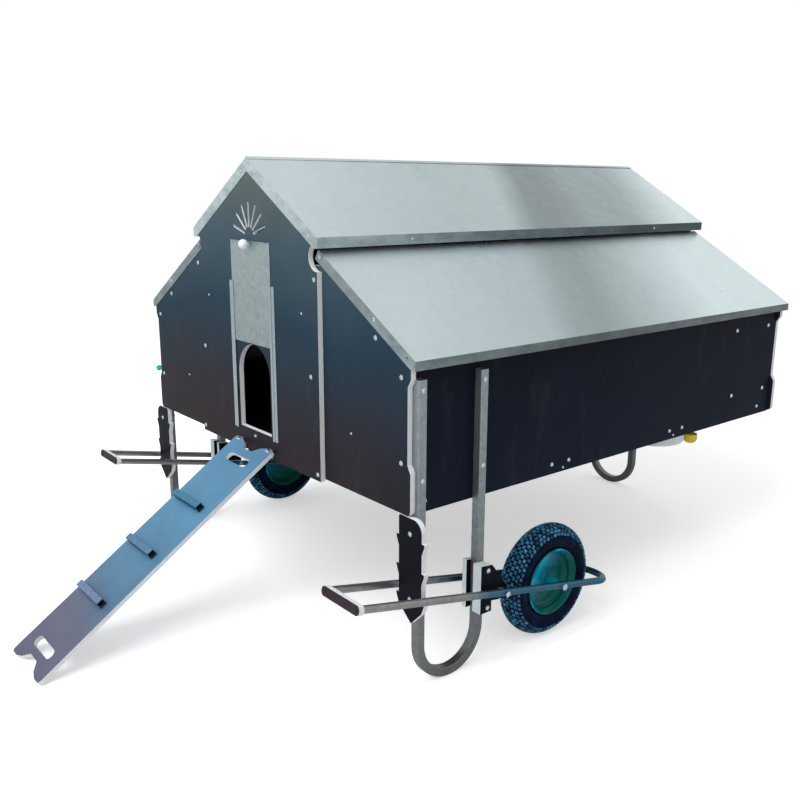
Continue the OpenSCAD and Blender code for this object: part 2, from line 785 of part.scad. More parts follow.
module pop_door() in_frame() color(galvanised) {
    translate([-door_w / 2, door_y - sheet_t, door_up]) cube([door_w, sheet_t, door_h]);
    lip_w = door_w - 2 * guide_lip - 4;
    translate([-lip_w / 2, door_y - door_lip, door_up + door_h - sheet_t])
        cube([lip_w, door_lip, sheet_t]);
}

// The ball stands off the door by its stem, clear of the folded lip above it
ball_off = 5;
stem_r = 4;

module door_ball() in_frame() color(white_plastic)
    translate([0, door_y - sheet_t, door_up + door_h - 10]) {
        translate([0, -ball_d / 2 - ball_off, 0]) sphere(ball_d / 2);
        rotate([90, 0, 0]) cylinder(h = ball_off + stem_r, r = stem_r);
    }

// Ramp in its own frame: the hinge axis at the origin, the board running towards -Y
module on_ramp() {
    translate([0, -hinge_y, hinge_z]) rotate([ramp_angle, 0, 0]) children();
}

ramp_start = -9;
ear_w = 39;
ear_r = 12;
knuckle_r = hinge_pin_r + 4;
strap_w = 16;
strap_l = 50;
strap_t = 3;
strap_screws = [20, 40];
lug_t = 2.5;
lug_in = strap_w / 2 + run_gap;

// One end of the ramp: two rounded ears with a splayed notch between them
module ear_cut() {
    half = ramp_w / 2 - ear_w;
    polygon([[-half, -1], [half, -1], [half, 0], [half - 32, ear_notch * 0.3], [half - 56, ear_notch * 0.85],
        [half - 62, ear_notch], [-half + 62, ear_notch], [-half + 56, ear_notch * 0.85],
        [-half + 32, ear_notch * 0.3], [-half, 0]]);
    for (s = [-1, 1]) translate([s * ramp_w / 2, 0]) mirror([s > 0 ? 1 : 0, 0])
        difference() {
            translate([-1, -1]) square(ear_r + 1);
            translate([ear_r, ear_r]) circle(ear_r);
        }
}

module hand_slot() {
    square([slot_l - slot_w, slot_w], center = true);
    for (s = [-1, 1]) translate([s * (slot_l - slot_w) / 2, 0]) circle(slot_w / 2);
}

module ramp_board() in_frame() color(ply_face) on_ramp() difference() {
    translate([0, 0, -ramp_t / 2]) linear_extrude(ramp_t) difference() {
        translate([-ramp_w / 2, -ramp_l]) square([ramp_w, ramp_l - ramp_start]);
        translate([0, -ramp_l]) ear_cut();
        translate([0, -ramp_start]) mirror([0, 1]) ear_cut();
        for (y = [-slot_in, -ramp_l + slot_in]) translate([0, y]) hand_slot();
    }
    for (s = [-1, 1]) translate([s * hinge_gap / 2, 0, 0]) {
        knuckle_gap = lug_in + lug_t + 1.5;
        translate([-knuckle_gap, -knuckle_r - 1.5, -ramp_t]) cube([2 * knuckle_gap, 30, 2 * ramp_t]);
        for (y = strap_screws) translate([0, -y, -ramp_t]) cylinder(h = ramp_t + 3, r = screw_r + 0.1);
    }
    for (k = [0 : 2], x = tread_screw_x)
        translate([x, -tread_first - k * tread_pitch, 0]) cylinder(h = ramp_t, r = screw_r + 0.1);
}

tread_screw_x = [-ramp_w / 2 + tread_in + 20, -ramp_w / 2 + tread_in + tread_l - 20];

module ramp_treads() in_frame() color(tube_grey) on_ramp()
    for (k = [0 : 2])
        translate([-ramp_w / 2 + tread_in, -tread_first - k * tread_pitch, ramp_t / 2 + seat + tread / 2])
            difference() {
                rotate([90, 0, 90]) linear_extrude(tread_l) difference() {
                    rounded_square(tread, 2);
                    square(tread - 2 * tube_wall, center = true);
                }
                for (x = tread_screw_x)
                    translate([x + ramp_w / 2 - tread_in, 0, -tread / 2 - 1])
                        cylinder(h = tube_wall + 2, r = screw_r + 0.1);
            }

// Eye straps under the ramp's ears, and the screws that hold them
module ramp_hinges() in_frame() color(zinc) on_ramp()
    for (s = [-1, 1]) translate([s * hinge_gap / 2, 0, 0]) {
        difference() {
            union() {
                rotate([0, 90, 0]) cylinder(h = strap_w, r = knuckle_r, center = true);
                translate([-strap_w / 2, -strap_l, -ramp_t / 2 - seat - strap_t])
                    cube([strap_w, strap_l, strap_t]);
                translate([-strap_w / 2, -6, -ramp_t / 2 - seat - 1])
                    cube([strap_w, 6, ramp_t / 2 - 2]);
            }
            rotate([0, 90, 0]) cylinder(h = strap_w + 2, r = hinge_pin_r + run_fit, center = true);
            for (y = strap_screws) translate([0, -y, -ramp_t]) cylinder(h = ramp_t, r = screw_r + 0.1);
        }
        for (y = strap_screws) translate([0, -y, -ramp_t / 2 - seat - strap_t]) rotate([180, 0, 0])
            screw(14);
    }

// Clevis brackets on the gable, each with its pin fixed in it
module ramp_bracket() {
    lug_r = hinge_pin_r + 3;
    difference() {
        union() {
            translate([-lug_in - lug_t, -3 - seat, -bracket_drop - 10])
                cube([2 * (lug_in + lug_t), 3, bracket_drop + 20]);
            for (x = [-lug_in - lug_t, lug_in]) {
                translate([x, -3 - seat, -lug_r]) mirror([0, 1, 0])
                    cube([lug_t, hinge_y - 3 - seat, 2 * lug_r]);
                translate([x, -hinge_y, 0]) rotate([0, 90, 0]) cylinder(h = lug_t, r = lug_r);
            }
            translate([-lug_in - 1, -hinge_y, 0]) rotate([0, 90, 0])
                cylinder(h = 2 * lug_in + 2, r = hinge_pin_r);
        }
        translate([0, -3 - seat - 1, -bracket_drop]) rotate([-90, 0, 0])
            cylinder(h = 5, r = bolt_r + 0.2);
    }
    on_front(0, -3 - seat, -bracket_drop) bolt(ply + 3 + seat, hr = 6, hh = 1.5);
}

module ramp_brackets() in_frame() color(zinc)
    for (s = [-1, 1]) translate([s * hinge_gap / 2, 0, hinge_z]) ramp_bracket();

// Bent leg in the XZ plane: two uprights and a half-round bend, top at the given height
module leg_solid(profile_side, r, top) {
    bend_r = leg_gap / 2;
    bend_z = bend_r + tube / 2;
    for (s = [-1, 1])
        translate([s * bend_r, 0, bend_z]) linear_extrude(top - bend_z) rounded_square(profile_side, r);
    translate([0, 0, bend_z]) rotate([-90, 0, 0]) rotate_extrude(angle = 180, $fn = 96)
        translate([bend_r, 0]) rounded_square(profile_side, r);
}

module leg(top) {
    difference() {
        leg_solid(tube, tube_r, top);
        leg_solid(tube - 2 * tube_wall, 1, top + 1);
    }
}

module cross_hole(r, length) {
    rotate([0, 90, 0]) cylinder(h = length, r = r, center = true);
}

plate_bolt_z = [300, 508];
block_bolt_z = [205, 331];

module side_leg() {
    translate([leg_x, leg_y + leg_gap / 2, 0]) difference() {
        rotate([0, 0, 90]) leg(leg_top);
        for (y = [-1, 1], z = leg_bolt_z)
            translate([0, y * leg_gap / 2, z]) cross_hole(bolt_r + 0.2, tube + 2);
        for (z = block_bolt_z)
            translate([0, leg_gap / 2, z]) cross_hole(bolt_r + 0.2, tube + 2);
        for (z = plate_bolt_z)
            translate([0, -leg_gap / 2, z]) rotate([0, 0, 90]) cross_hole(bolt_r + 0.2, tube + 2);
    }
}

module leg_right() in_frame() color(tube_grey) side_leg();
module leg_left() in_frame() color(tube_grey) mirror([1, 0, 0]) side_leg();

module leg_rear() in_frame() color(tube_grey)
    translate([0, rear_leg_y + seat, 0]) difference() {
        leg(leg_top);
        for (x = [-1, 1], z = leg_bolt_z)
            translate([x * leg_gap / 2, 0, z]) rotate([0, 0, 90]) cross_hole(bolt_r + 0.2, tube + 2);
    }

module leg_bolts() in_frame() color(zinc) {
    for (s = [-1, 1]) {
        for (b = leg_bolt_places) on_side(s, side_x + tube, b[0], b[1]) bolt(tube + ply);
        for (z = plate_bolt_z) on_front(s * leg_x, ply - seat, z) bolt(ply + tube + seat);
        for (z = block_bolt_z) on_side(s, leg_x + tube / 2 + 2 * ply + seat, leg_y2, z) bolt(tube + 3 * ply + 2 * seat);
        for (z = leg_bolt_z) on_rear(s * leg_gap / 2, house_l + tube + seat, z) bolt(tube + ply + seat);
    }
}

// Notched plate: a ledge for each step of the lever, the underside of each tooth sloped
body_x = tip_x - tooth;
plate_top = wing_base - 3;
plate_top_r = 38;
notch_side = [for (k = [0 : 2], p = [[body_x, -36], [tip_x, -9], [tip_x, 0], [body_x, 0]])
    [p[0], ledge_z + k * notch_step + p[1]]];

module notch_outline() {
    polygon(concat([[5, ledge_z - 84]], notch_side,
        [[body_x, plate_top - plate_top_r], [body_x - plate_top_r, plate_top], [8 - body_x, plate_top],
        [-body_x, plate_top - 8]],
        [for (k = [len(notch_side) - 1 : -1 : 0]) [-notch_side[k][0], notch_side[k][1]]]));
    translate([body_x - plate_top_r, plate_top - plate_top_r]) circle(plate_top_r);
    translate([8 - body_x, plate_top - 8]) circle(8);
}

module notch_plate() {
    translate([leg_x, 0, 0]) difference() {
        slab_y(ply - seat, ply) notch_outline();
        for (z = plate_bolt_z)
            translate([0, 0, z]) rotate([-90, 0, 0]) cylinder(h = 3 * ply, r = bolt_r + 0.2);
    }
}

module notch_plate_right() in_frame() color(ply_face) notch_plate();
module notch_plate_left() in_frame() color(ply_face) mirror([1, 0, 0]) notch_plate();

// Pivot blocks: plywood cheeks clamped on the rear upright, with a nose round the pivot
nose_r = 33;

module cheek_outline() {
    front = leg_y2 - tube / 2 - 16;
    back = leg_y2 + tube / 2 + 2;
    low = 190;
    high = 353;
    polygon([[front, low], [back, low], [back, lever_z - 28], [pivot_y, lever_z - nose_r],
        [pivot_y + nose_r * cos(39), lever_z + nose_r * sin(39)], [back, high - 6], [front, high]]);
    translate([pivot_y, lever_z]) circle(nose_r);
}

module pivot_blocks() {
    difference() {
        union() {
            slab_x(leg_x + tube / 2 + seat, 2 * ply) cheek_outline();
            slab_x(leg_x - tube / 2 - seat - ply, ply) cheek_outline();
        }
        for (z = block_bolt_z)
            translate([leg_x, leg_y2, z]) cross_hole(bolt_r + 0.2, 8 * ply);
        translate([leg_x, pivot_y, lever_z]) cross_hole(pivot_bolt_r + run_fit, 8 * ply);
    }
}

module pivot_blocks_right() in_frame() color(ply_face) pivot_blocks();
module pivot_blocks_left() in_frame() color(ply_face) mirror([1, 0, 0]) pivot_blocks();

// Pivot bolt through both cheeks and both lever tubes, with its spacers
module pivot_bolt() {
    end = lever_gap / 2 + lever_d / 2 + 1;
    out0 = tube / 2 + seat + 2 * ply;
    in0 = tube / 2 + seat + ply;
    translate([leg_x, pivot_y, lever_z]) rotate([0, 90, 0]) {
        translate([0, 0, -end]) cylinder(h = 2 * end, r = pivot_bolt_r);
        for (s = [-1, 1]) translate([0, 0, s * (end + 3)]) cylinder(h = 6, r = 10, center = true, $fn = 6);
        translate([0, 0, out0 + seat]) cylinder(h = lever_in - out0 - seat - run_gap, r = 10);
        translate([0, 0, -lever_in + run_gap]) cylinder(h = lever_in - in0 - seat - run_gap, r = 10);
    }
}

module pivot_bolt_right() in_frame() color(zinc) pivot_bolt();
module pivot_bolt_left() in_frame() color(zinc) mirror([1, 0, 0]) pivot_bolt();

// Lever in its own frame: the axle at the origin, the tubes running towards -Y
module on_lever() {
    translate([leg_x, axle_y, axle_z]) rotate([-lever_tilt, 0, 0]) children();
}

module lever_solid(r) {
    for (s = [-1, 1])
        translate([s * lever_gap / 2, bend_l, 0]) rotate([90, 0, 0]) cylinder(h = bend_l + lever_l, r = r);
    translate([0, bend_l, 0]) rotate_extrude(angle = 180, $fn = 96) translate([lever_gap / 2, 0]) circle(r);
}

lever_pivot_l = (axle_y - pivot_y) / cos(lever_tilt);

module lever() on_lever() difference() {
    lever_solid(lever_d / 2);
    difference() {
        lever_solid(lever_d / 2 - tube_wall);
        for (s = [-1, 1]) translate([s * lever_gap / 2, -lever_l, 0]) rotate([-90, 0, 0])
            cylinder(h = 30, r = lever_d / 2);
    }
    cross_hole(axle_r + 0.1, 2 * lever_gap);
    translate([0, -lever_pivot_l, 0]) cross_hole(pivot_bolt_r + run_fit, 2 * lever_gap);
    for (s = [-1, 1]) translate([s * lever_gap / 2, -lever_l - 1, 0]) rotate([-90, 0, 0])
        cylinder(h = 27, r = 3.2);
}

module lever_right() in_frame() color(tube_grey) lever();
module lever_left() in_frame() color(tube_grey) mirror([1, 0, 0]) lever();

handle_h = 30;

// Handle: a plywood bar with round ends across the front of the lever, and its two bolts
module handle() on_lever() translate([0, -lever_l, 0]) {
    difference() {
        slab_y(-ply - seat, ply) {
            square([lever_gap, handle_h], center = true);
            for (s = [-1, 1]) translate([s * lever_gap / 2, 0]) circle(handle_h / 2);
        }
        for (s = [-1, 1]) translate([s * lever_gap / 2, 0, 0]) rotate([90, 0, 0])
            cylinder(h = 60, r = 3.2, center = true);
    }
    for (s = [-1, 1]) on_front(s * lever_gap / 2, -ply - seat, 0) screw(40, r = 3, hr = 6.5, hh = 4);
}

module handle_right() in_frame() color(ply_face) handle();
module handle_left() in_frame() color(ply_face) mirror([1, 0, 0]) handle();

// Axle bolt through the lever's tubes, with a head at one end and a nut at the other
module axle() on_lever() {
    end = lever_gap / 2 + lever_d / 2;
    rotate([0, 90, 0]) {
        cylinder(h = 2 * end, r = axle_r, center = true);
        for (s = [-1, 1]) translate([0, 0, s * (end + 4)]) cylinder(h = 8, r = 12, center = true, $fn = 6);
    }
}

module axle_right() in_frame() color(zinc) axle();
module axle_left() in_frame() color(zinc) mirror([1, 0, 0]) axle();

module on_axle() {
    translate([leg_x, axle_y, axle_z]) rotate([0, 90, 0]) children();
}

bead_r = 104;
tread_lugs = 26;
groove = 6;

// Tyre: round section cut off at the rim, two grooves round the crown, and shoulder notches
module tyre() on_axle() difference() {
    rotate_extrude($fn = 96) difference() {
        translate([tyre_r - tyre_w / 2, 0]) circle(tyre_w / 2);
        translate([0, -tyre_w]) square([bead_r, 2 * tyre_w]);
        for (s = [-1, 1]) translate([tyre_r - groove, s * 14 - groove / 2]) square([2 * groove, groove]);
    }
    for (k = [0 : tread_lugs - 1], s = [-1, 1])
        rotate([0, 0, (k + s / 4) * 360 / tread_lugs])
            translate([tyre_r - 26, -groove / 2, s > 0 ? 20 : -20 - tyre_w])
                cube([40, groove, tyre_w]);
}

module tyre_right() in_frame() color(rubber) tyre();
module tyre_left() in_frame() color(rubber) mirror([1, 0, 0]) tyre();

rim_t = 3;
rim_w = 62;
hub_r = 15;
hub_l = lever_in - 1;

// Pressed steel rim: two lips round the tyre's beads, the bed, one web and the hub tube
bed_r = bead_r - seat;
rim_half = [[axle_r + run_fit, hub_l], [hub_r, hub_l], [hub_r, 12], [hub_r + 8, 3],
    [bed_r - 18, 3], [bed_r - 9, 8], [bed_r - rim_t, 16], [bed_r - rim_t, 26],
    [bed_r + 4, 36], [rim_r - 3, 42.6], [rim_r, 42.6], [rim_r, 39.6],
    [rim_r - 4, 36.2], [rim_r - 8, 31.9], [bed_r, 25.9]];

module rim() on_axle() rotate_extrude($fn = 96)
    polygon(concat(rim_half, [for (k = [len(rim_half) - 1 : -1 : 0]) [rim_half[k][0], -rim_half[k][1]]]));

module rim_right() in_frame() color(rim_green) rim();
module rim_left() in_frame() color(rim_green) mirror([1, 0, 0]) rim();

// Bolts that join the panels, front and rear, each with its nut inside
module panel_bolts() in_frame() color(zinc)
    for (s = [-1, 1]) {
        for (b = lap_bolts) {
            on_front(s * (gable_w / 2 - b[0]), 0, b[1]) bolt(2 * ply);
            on_rear(s * (gable_w / 2 - b[0]), house_l, b[1]) bolt(2 * ply);
        }
        for (b = wing_bolts) {
            on_front(s * (wing_x - b[0]), ply, b[1]) bolt(ply);
            on_rear(s * (wing_x - b[0]), rear_in, b[1]) bolt(ply);
        }
        if (s > 0) on_front(peg_x, 0, peg_z) {
            translate([0, 0, peg_l]) bolt(ply + peg_l, hr = 6.5);
            cylinder(h = 4, r = 6.5, $fn = 6);
        }
    }

panel_screw_l = 40;

// Small screws through the end panels into the perches and the nest boards
module panel_screws() in_frame() color(zinc)
    for (s = [-1, 1]) {
        on_front(s * perch_x, 0, perch_z) screw(panel_screw_l);
        on_rear(s * perch_x, house_l, perch_z) screw(panel_screw_l);
        on_front(s * nest_x, ply, nest_screw_z) screw(panel_screw_l);
        on_rear(s * nest_x, rear_in, nest_screw_z) screw(panel_screw_l);
    }

module side_bolts() in_frame() color(zinc) {
    for (s = [-1, 1], b = side_bolt_places)
        on_side(s, side_x, b[0], b[1]) bolt(ply);
    for (s = [-1, 1], y = floor_bolt_y)
        on_side(s, side_x, y, floor_bolt_z) floor_bolt();
    for (s = [-1, 1], y = bracket_y) {
        on_side(s, side_x, y, bracket_screw_z) screw(ply + bracket_t + 3);
        translate([s * (side_x - ply - bracket_d * 0.6), y, floor_base - bracket_t]) rotate([180, 0, 0])
            screw(14);
    }
}

module perch_hole(y0) {
    translate([0, y0, 0]) rotate([-90, 0, 0])
        cylinder(h = 2 * panel_screw_l, r = screw_r + 0.1, center = true);
}

module perches() in_frame() color(timber)
    for (s = [-1, 1]) translate([s * perch_x, 0, perch_z]) difference() {
        slab_y(ply + seat, rear_in - ply - 2 * seat) rounded_square(perch, 8);
        perch_hole(ply + seat);
        perch_hole(rear_in - seat);
    }

// Nest boards: the right one stops short of the tank's bay
bay_y = 1340;
divider_pitch = 325;

module nest_board(y1) {
    difference() {
        translate([nest_x - ply / 2, inner_y0 + seat, floor_top + seat])
            cube([ply, y1 - inner_y0 - 2 * seat, nest_h]);
        for (y = [inner_y0, inner_y1])
            translate([nest_x, y, nest_screw_z]) rotate([90, 0, 0])
                cylinder(h = 2 * panel_screw_l, r = screw_r + 0.1, center = true);
    }
}

module nest_boards() in_frame() color(ply_face) {
    nest_board(bay_y);
    difference() {
        translate([nest_x - ply / 2, tank_y + tank_r + 60, floor_top + seat])
            cube([ply, inner_y1 - tank_y - tank_r - 60 - seat, nest_h]);
        translate([nest_x, inner_y1, nest_screw_z]) rotate([90, 0, 0])
            cylinder(h = 2 * panel_screw_l, r = screw_r + 0.1, center = true);
    }
    mirror([1, 0, 0]) nest_board(inner_y1);
}

module nest_divider(y) {
    x0 = nest_x + ply / 2 + seat;
    translate([x0, y, floor_top + seat]) cube([side_x - ply - seat - x0, ply, divider_h]);
}

module nest_dividers() in_frame() color(ply_face) {
    for (k = [1 : 3]) nest_divider(inner_y0 + k * divider_pitch);
    nest_divider(bay_y - ply);
    for (k = [1 : 5]) mirror([1, 0, 0]) nest_divider(inner_y0 + k * divider_pitch);
}

tank_wall = 3;
shoulder = 14;

// Water tank: hangs through the floor on its shoulder, open at the top under its cap
module water_tank() in_frame() color(white_plastic) difference() {
    translate([tank_x, tank_y, tank_base]) rotate_extrude($fn = 96) {
        r0 = r0_tank;
        difference() {
            union() {
                translate([0, 0]) square([tank_r - r0, r0]);
                translate([0, r0]) square([tank_r, tank_h - r0]);
                intersection() {
                    translate([tank_r - r0, r0]) circle(r0);
                    square([tank_r, r0]);
                }
                translate([0, floor_top - tank_base + seat]) square([tank_r + shoulder, 6]);
            }
            translate([0, r0]) square([tank_r - tank_wall, tank_h]);
            translate([0, tank_wall]) square([tank_r - r0, r0]);
            intersection() {
                translate([tank_r - r0, r0]) circle(r0 - tank_wall);
                square([tank_r, r0]);
            }
        }
    }
    translate([tank_x, tank_y, tank_base + stub_h]) rotate([0, 0, cup_dir]) translate([tank_r, 0, 0])
        cross_hole(stub_r + 0.2, 4 * tank_wall);
}

// Rounding of the tank's bottom edge
r0_tank = 12;

module tank_cap() in_frame() color(white_plastic)
    translate([tank_x, tank_y, tank_base + tank_h + seat]) {
        rotate_extrude($fn = 96) {
            square([tank_r + 5, 4]);
            translate([tank_r + seat, -16]) square([4, 17]);
        }
        translate([0, 0, 3]) cylinder(h = 14, r = 30);
    }

cup_r = 27;
cup_wall = 3;
cup_h = 38;
cup_dir = 47;
cup_dist = tank_r + cup_r + 2;
cup_low = 12;
stub_r = 4;
stub_h = 18;

// Drinking cup beside the tank, on a stub pipe through the tank's wall
module drinking_cup() in_frame() color(cup_yellow)
    translate([tank_x, tank_y, tank_base - cup_low]) rotate([0, 0, cup_dir]) {
        translate([cup_dist, 0, 0]) rotate_extrude() difference() {
            polygon([[0, 0], [cup_r - 14, 0], [cup_r - 5, 5], [cup_r, 14], [cup_r, cup_h], [0, cup_h]]);
            polygon([[0, cup_wall], [cup_r - 15, cup_wall], [cup_r - 7, 7], [cup_r - cup_wall, 15],
                [cup_r - cup_wall, cup_h + 1], [0, cup_h + 1]]);
        }
        translate([tank_r - tank_wall - 3, 0, cup_low + stub_h]) rotate([0, 90, 0])
            cylinder(h = cup_dist - cup_r + cup_wall / 2 - tank_r + tank_wall + 3, r = stub_r);
    }

knob_l = 80;
knob_z = leg_bolt_low + 45;

module hand_knob() in_frame() color(knob_turquoise)
    translate([-side_x - tube - seat, leg_y, knob_z]) rotate([0, -90, 0]) rotate_extrude()
        polygon([[0, 0], [7, 0], [7, 5], [4, 7], [4, knob_l - 24], [9, knob_l - 20], [12, knob_l - 12],
            [11, knob_l - 3], [7, knob_l], [0, knob_l]]);

floor_panel();
floor_brackets();
front_gable();
rear_gable();
front_wing_left();
front_wing_right();
rear_wing_left();
rear_wing_right();
side_wall_left();
side_wall_right();
roof_left();
roof_right();
roof_formers();
perches();
nest_boards();
nest_dividers();
water_tank();
tank_cap();
drinking_cup();
leg_left();
leg_right();
leg_rear();
notch_plate_left();
notch_plate_right();
pivot_blocks_left();
pivot_blocks_right();
pivot_bolt_left();
pivot_bolt_right();
door_guide_left();
door_guide_right();
guide_screws();
panel_bolts();
panel_screws();
side_bolts();
leg_bolts();
roof_screws();
lid_pins();
hand_knob();
ramp_brackets();
pop_door();
door_ball();
lid_left();
lid_right();
lid_battens_left();
lid_battens_right();
lid_screws_left();
lid_screws_right();
ramp_board();
ramp_treads();
ramp_hinges();
lever_left();
lever_right();
handle_left();
handle_right();
axle_left();
axle_right();
tyre_left();
tyre_right();
rim_left();
rim_right();
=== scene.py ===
import json
import math

import bmesh
import bpy
import numpy
from mathutils import Matrix, Vector


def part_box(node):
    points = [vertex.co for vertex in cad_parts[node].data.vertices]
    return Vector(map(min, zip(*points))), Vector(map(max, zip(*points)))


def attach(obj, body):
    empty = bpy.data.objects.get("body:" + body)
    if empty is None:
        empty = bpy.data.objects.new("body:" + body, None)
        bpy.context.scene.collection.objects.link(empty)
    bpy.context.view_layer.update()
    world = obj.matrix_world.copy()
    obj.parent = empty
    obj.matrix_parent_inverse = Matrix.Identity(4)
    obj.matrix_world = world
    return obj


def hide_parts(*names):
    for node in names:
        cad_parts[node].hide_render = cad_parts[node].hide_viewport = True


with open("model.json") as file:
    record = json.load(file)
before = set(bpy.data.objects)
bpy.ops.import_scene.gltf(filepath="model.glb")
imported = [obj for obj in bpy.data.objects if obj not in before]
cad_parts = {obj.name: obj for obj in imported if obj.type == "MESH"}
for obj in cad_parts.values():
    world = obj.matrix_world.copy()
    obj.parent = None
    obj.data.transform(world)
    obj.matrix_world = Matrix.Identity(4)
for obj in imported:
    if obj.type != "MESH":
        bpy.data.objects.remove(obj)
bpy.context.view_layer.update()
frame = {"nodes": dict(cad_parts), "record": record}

scene = bpy.context.scene

# Camera and studio.
# The camera stands at the front right, a little under the ridge, and looks slightly down.
# A pale floor and an even white surround light the house softly, with one broad key lamp.
FRONT_Y = -0.62399  # outer face of the front panels; the house runs back from here
CAMERA_SPOT = (2.6838, FRONT_Y - 1.5114, 1.4953)
HOUSE_MIDDLE = (0, 0, 0.9)
PICTURE_WIDTH, FOCAL_LENGTH, SENSOR_WIDTH = 800, 874.04, 36
turn, tip, roll = (math.radians(a) for a in (50.935, -13.733, 0.201))
ahead = Vector((-math.sin(turn) * math.cos(tip), math.cos(turn) * math.cos(tip), math.sin(tip)))
across = Vector((math.cos(turn), math.sin(turn), 0.0))
upward = across.cross(ahead)
camera_x = across * math.cos(roll) + upward * math.sin(roll)
camera_y = upward * math.cos(roll) - across * math.sin(roll)
lens = bpy.data.cameras.new("camera")
lens.lens, lens.sensor_width = FOCAL_LENGTH * SENSOR_WIDTH / PICTURE_WIDTH, SENSOR_WIDTH
lens.clip_end = 100
camera = bpy.data.objects.new("camera", lens)
camera_turn = Matrix((camera_x, camera_y, -ahead)).transposed().to_4x4()
camera.matrix_world = Matrix.Translation(CAMERA_SPOT) @ camera_turn
scene.collection.objects.link(camera)
scene.camera = camera
scene.view_settings.view_transform = "Standard"

surround = bpy.data.worlds.new("surround")
surround.use_nodes = True
scene.world = surround
sky, link = surround.node_tree.nodes, surround.node_tree.links
rays = sky.new("ShaderNodeLightPath")
seen = rays.outputs["Is Camera Ray"]
for kind in ("Is Glossy Ray", "Is Transmission Ray"):
    either = sky.new("ShaderNodeMath")
    either.operation = "MAXIMUM"
    link.new(seen, either.inputs[0])
    link.new(rays.outputs[kind], either.inputs[1])
    seen = either.outputs[0]
LIT_STRENGTH, SEEN_STRENGTH = 0.62, 1.0
strength = sky.new("ShaderNodeMapRange")
strength.inputs["To Min"].default_value = LIT_STRENGTH
strength.inputs["To Max"].default_value = SEEN_STRENGTH
link.new(seen, strength.inputs["Value"])
link.new(strength.outputs[0], sky["Background"].inputs["Strength"])
sky["Background"].inputs["Color"].default_value = (1, 1, 1, 1)

key = bpy.data.lights.new("key", "AREA")
key.energy, key.size = 275, 5.0
key_lamp = bpy.data.objects.new("key", key)
key_lamp.location = (0.6, -3.6, 5.2)
to_house = Vector(HOUSE_MIDDLE) - key_lamp.location
key_lamp.rotation_euler = to_house.to_track_quat("-Z", "Y").to_euler()
key_lamp.visible_glossy = False
scene.collection.objects.link(key_lamp)

ground = bmesh.new()
bmesh.ops.create_grid(ground, x_segments=1, y_segments=1, size=40)
floor_mesh = bpy.data.meshes.new("studio_floor")
ground.to_mesh(floor_mesh)
ground.free()
floor = bpy.data.objects.new("studio_floor", floor_mesh)
scene.collection.objects.link(floor)
floor_paint = bpy.data.materials.new("floor_paint")
floor_paint.use_nodes = True
paint = floor_paint.node_tree
floor_shader = paint.nodes["Principled BSDF"]
for socket, value in (("Base Color", (0.86, 0.86, 0.86, 1)), ("Roughness", 0.95),
                      ("Specular IOR Level", 0.0), ("Emission Color", (1, 1, 1, 1))):
    floor_shader.inputs[socket].default_value = value
FLOOR_LIFT = 0.48
floor_rays = paint.nodes.new("ShaderNodeLightPath")
lift = paint.nodes.new("ShaderNodeMath")
lift.operation = "MULTIPLY"
lift.inputs[1].default_value = FLOOR_LIFT
paint.links.new(floor_rays.outputs["Is Camera Ray"], lift.inputs[0])
paint.links.new(lift.outputs[0], floor_shader.inputs["Emission Strength"])
floor_mesh.materials.append(floor_paint)


# End panels: a centre panel and two wing panels at the front, and the same at the rear.
# Birch plywood under a smooth dark phenolic film, sawn to shape, so every edge shows the pale
# veneers in thin layers. The wings are bolted behind the centre panels.
def finish(name, metallic=0.0, roughness=0.5, specular=0.5, coat=0.0):
    """A new material with its node tree and its shader."""
    made = bpy.data.materials.new(name)
    made.use_nodes = True
    shader = made.node_tree.nodes["Principled BSDF"]
    shader.inputs["Metallic"].default_value = metallic
    shader.inputs["Roughness"].default_value = roughness
    shader.inputs["Specular IOR Level"].default_value = specular
    shader.inputs["Coat Weight"].default_value = coat
    return made, made.node_tree, shader


def chain(tree, kind, links=None, **settings):
    """One node of a node tree, with its inputs linked or set."""
    made = tree.nodes.new(kind)
    for setting, value in settings.items():
        setattr(made, setting, value)
    for socket, value in (links or {}).items():
        if isinstance(value, bpy.types.NodeSocket):
            tree.links.new(value, made.inputs[socket])
        else:
            made.inputs[socket].default_value = value
    return made


def step(tree, kind, links=None, **settings):
    """One shader node of a material, named by the last part of its type."""
    return chain(tree, "ShaderNode" + kind, links, **settings)


def grain(tree, scale, detail=4.0, rough=0.55, stretch=(1, 1, 1)):
    """Uneven light and dark of a natural or worn surface, 0 to 1, at so many spots a metre."""
    spot = step(tree, "TexCoord").outputs["Object"]
    laid = step(tree, "Mapping", {"Vector": spot, "Scale": stretch})
    return step(tree, "TexNoise", {"Vector": laid.outputs[0], "Scale": scale, "Detail": detail,
                                   "Roughness": rough}).outputs["Fac"]


def ramp(tree, value, stops):
    """Colours between stops of (place from 0 to 1, colour)."""
    made = step(tree, "ValToRGB", {"Fac": value})
    band = made.color_ramp.elements
    while len(band) < len(stops):
        band.new(0.5)
    for mark, (place, colour) in zip(band, stops):
        mark.position = place
        mark.color = (*colour, 1)
    return made.outputs["Color"]


def spread(tree, value, low, high, from_low=0.0, from_high=1.0):
    """A value moved from one range to another and held inside it."""
    return step(tree, "MapRange", {"Value": value, "From Min": from_low, "From Max": from_high,
                                   "To Min": low, "To Max": high}).outputs[0]


def blend_colour(tree, value, first, second, kind="MIX"):
    """The first colour at 0 and the second one, mixed or multiplied in, at 1."""
    made = step(tree, "Mix", data_type="RGBA", blend_type=kind)
    for socket, given in ((0, value), (6, first), (7, second)):
        if isinstance(given, bpy.types.NodeSocket):
            tree.links.new(given, made.inputs[socket])
        else:
            made.inputs[socket].default_value = given if socket == 0 else (*given, 1)
    return made.outputs[2]


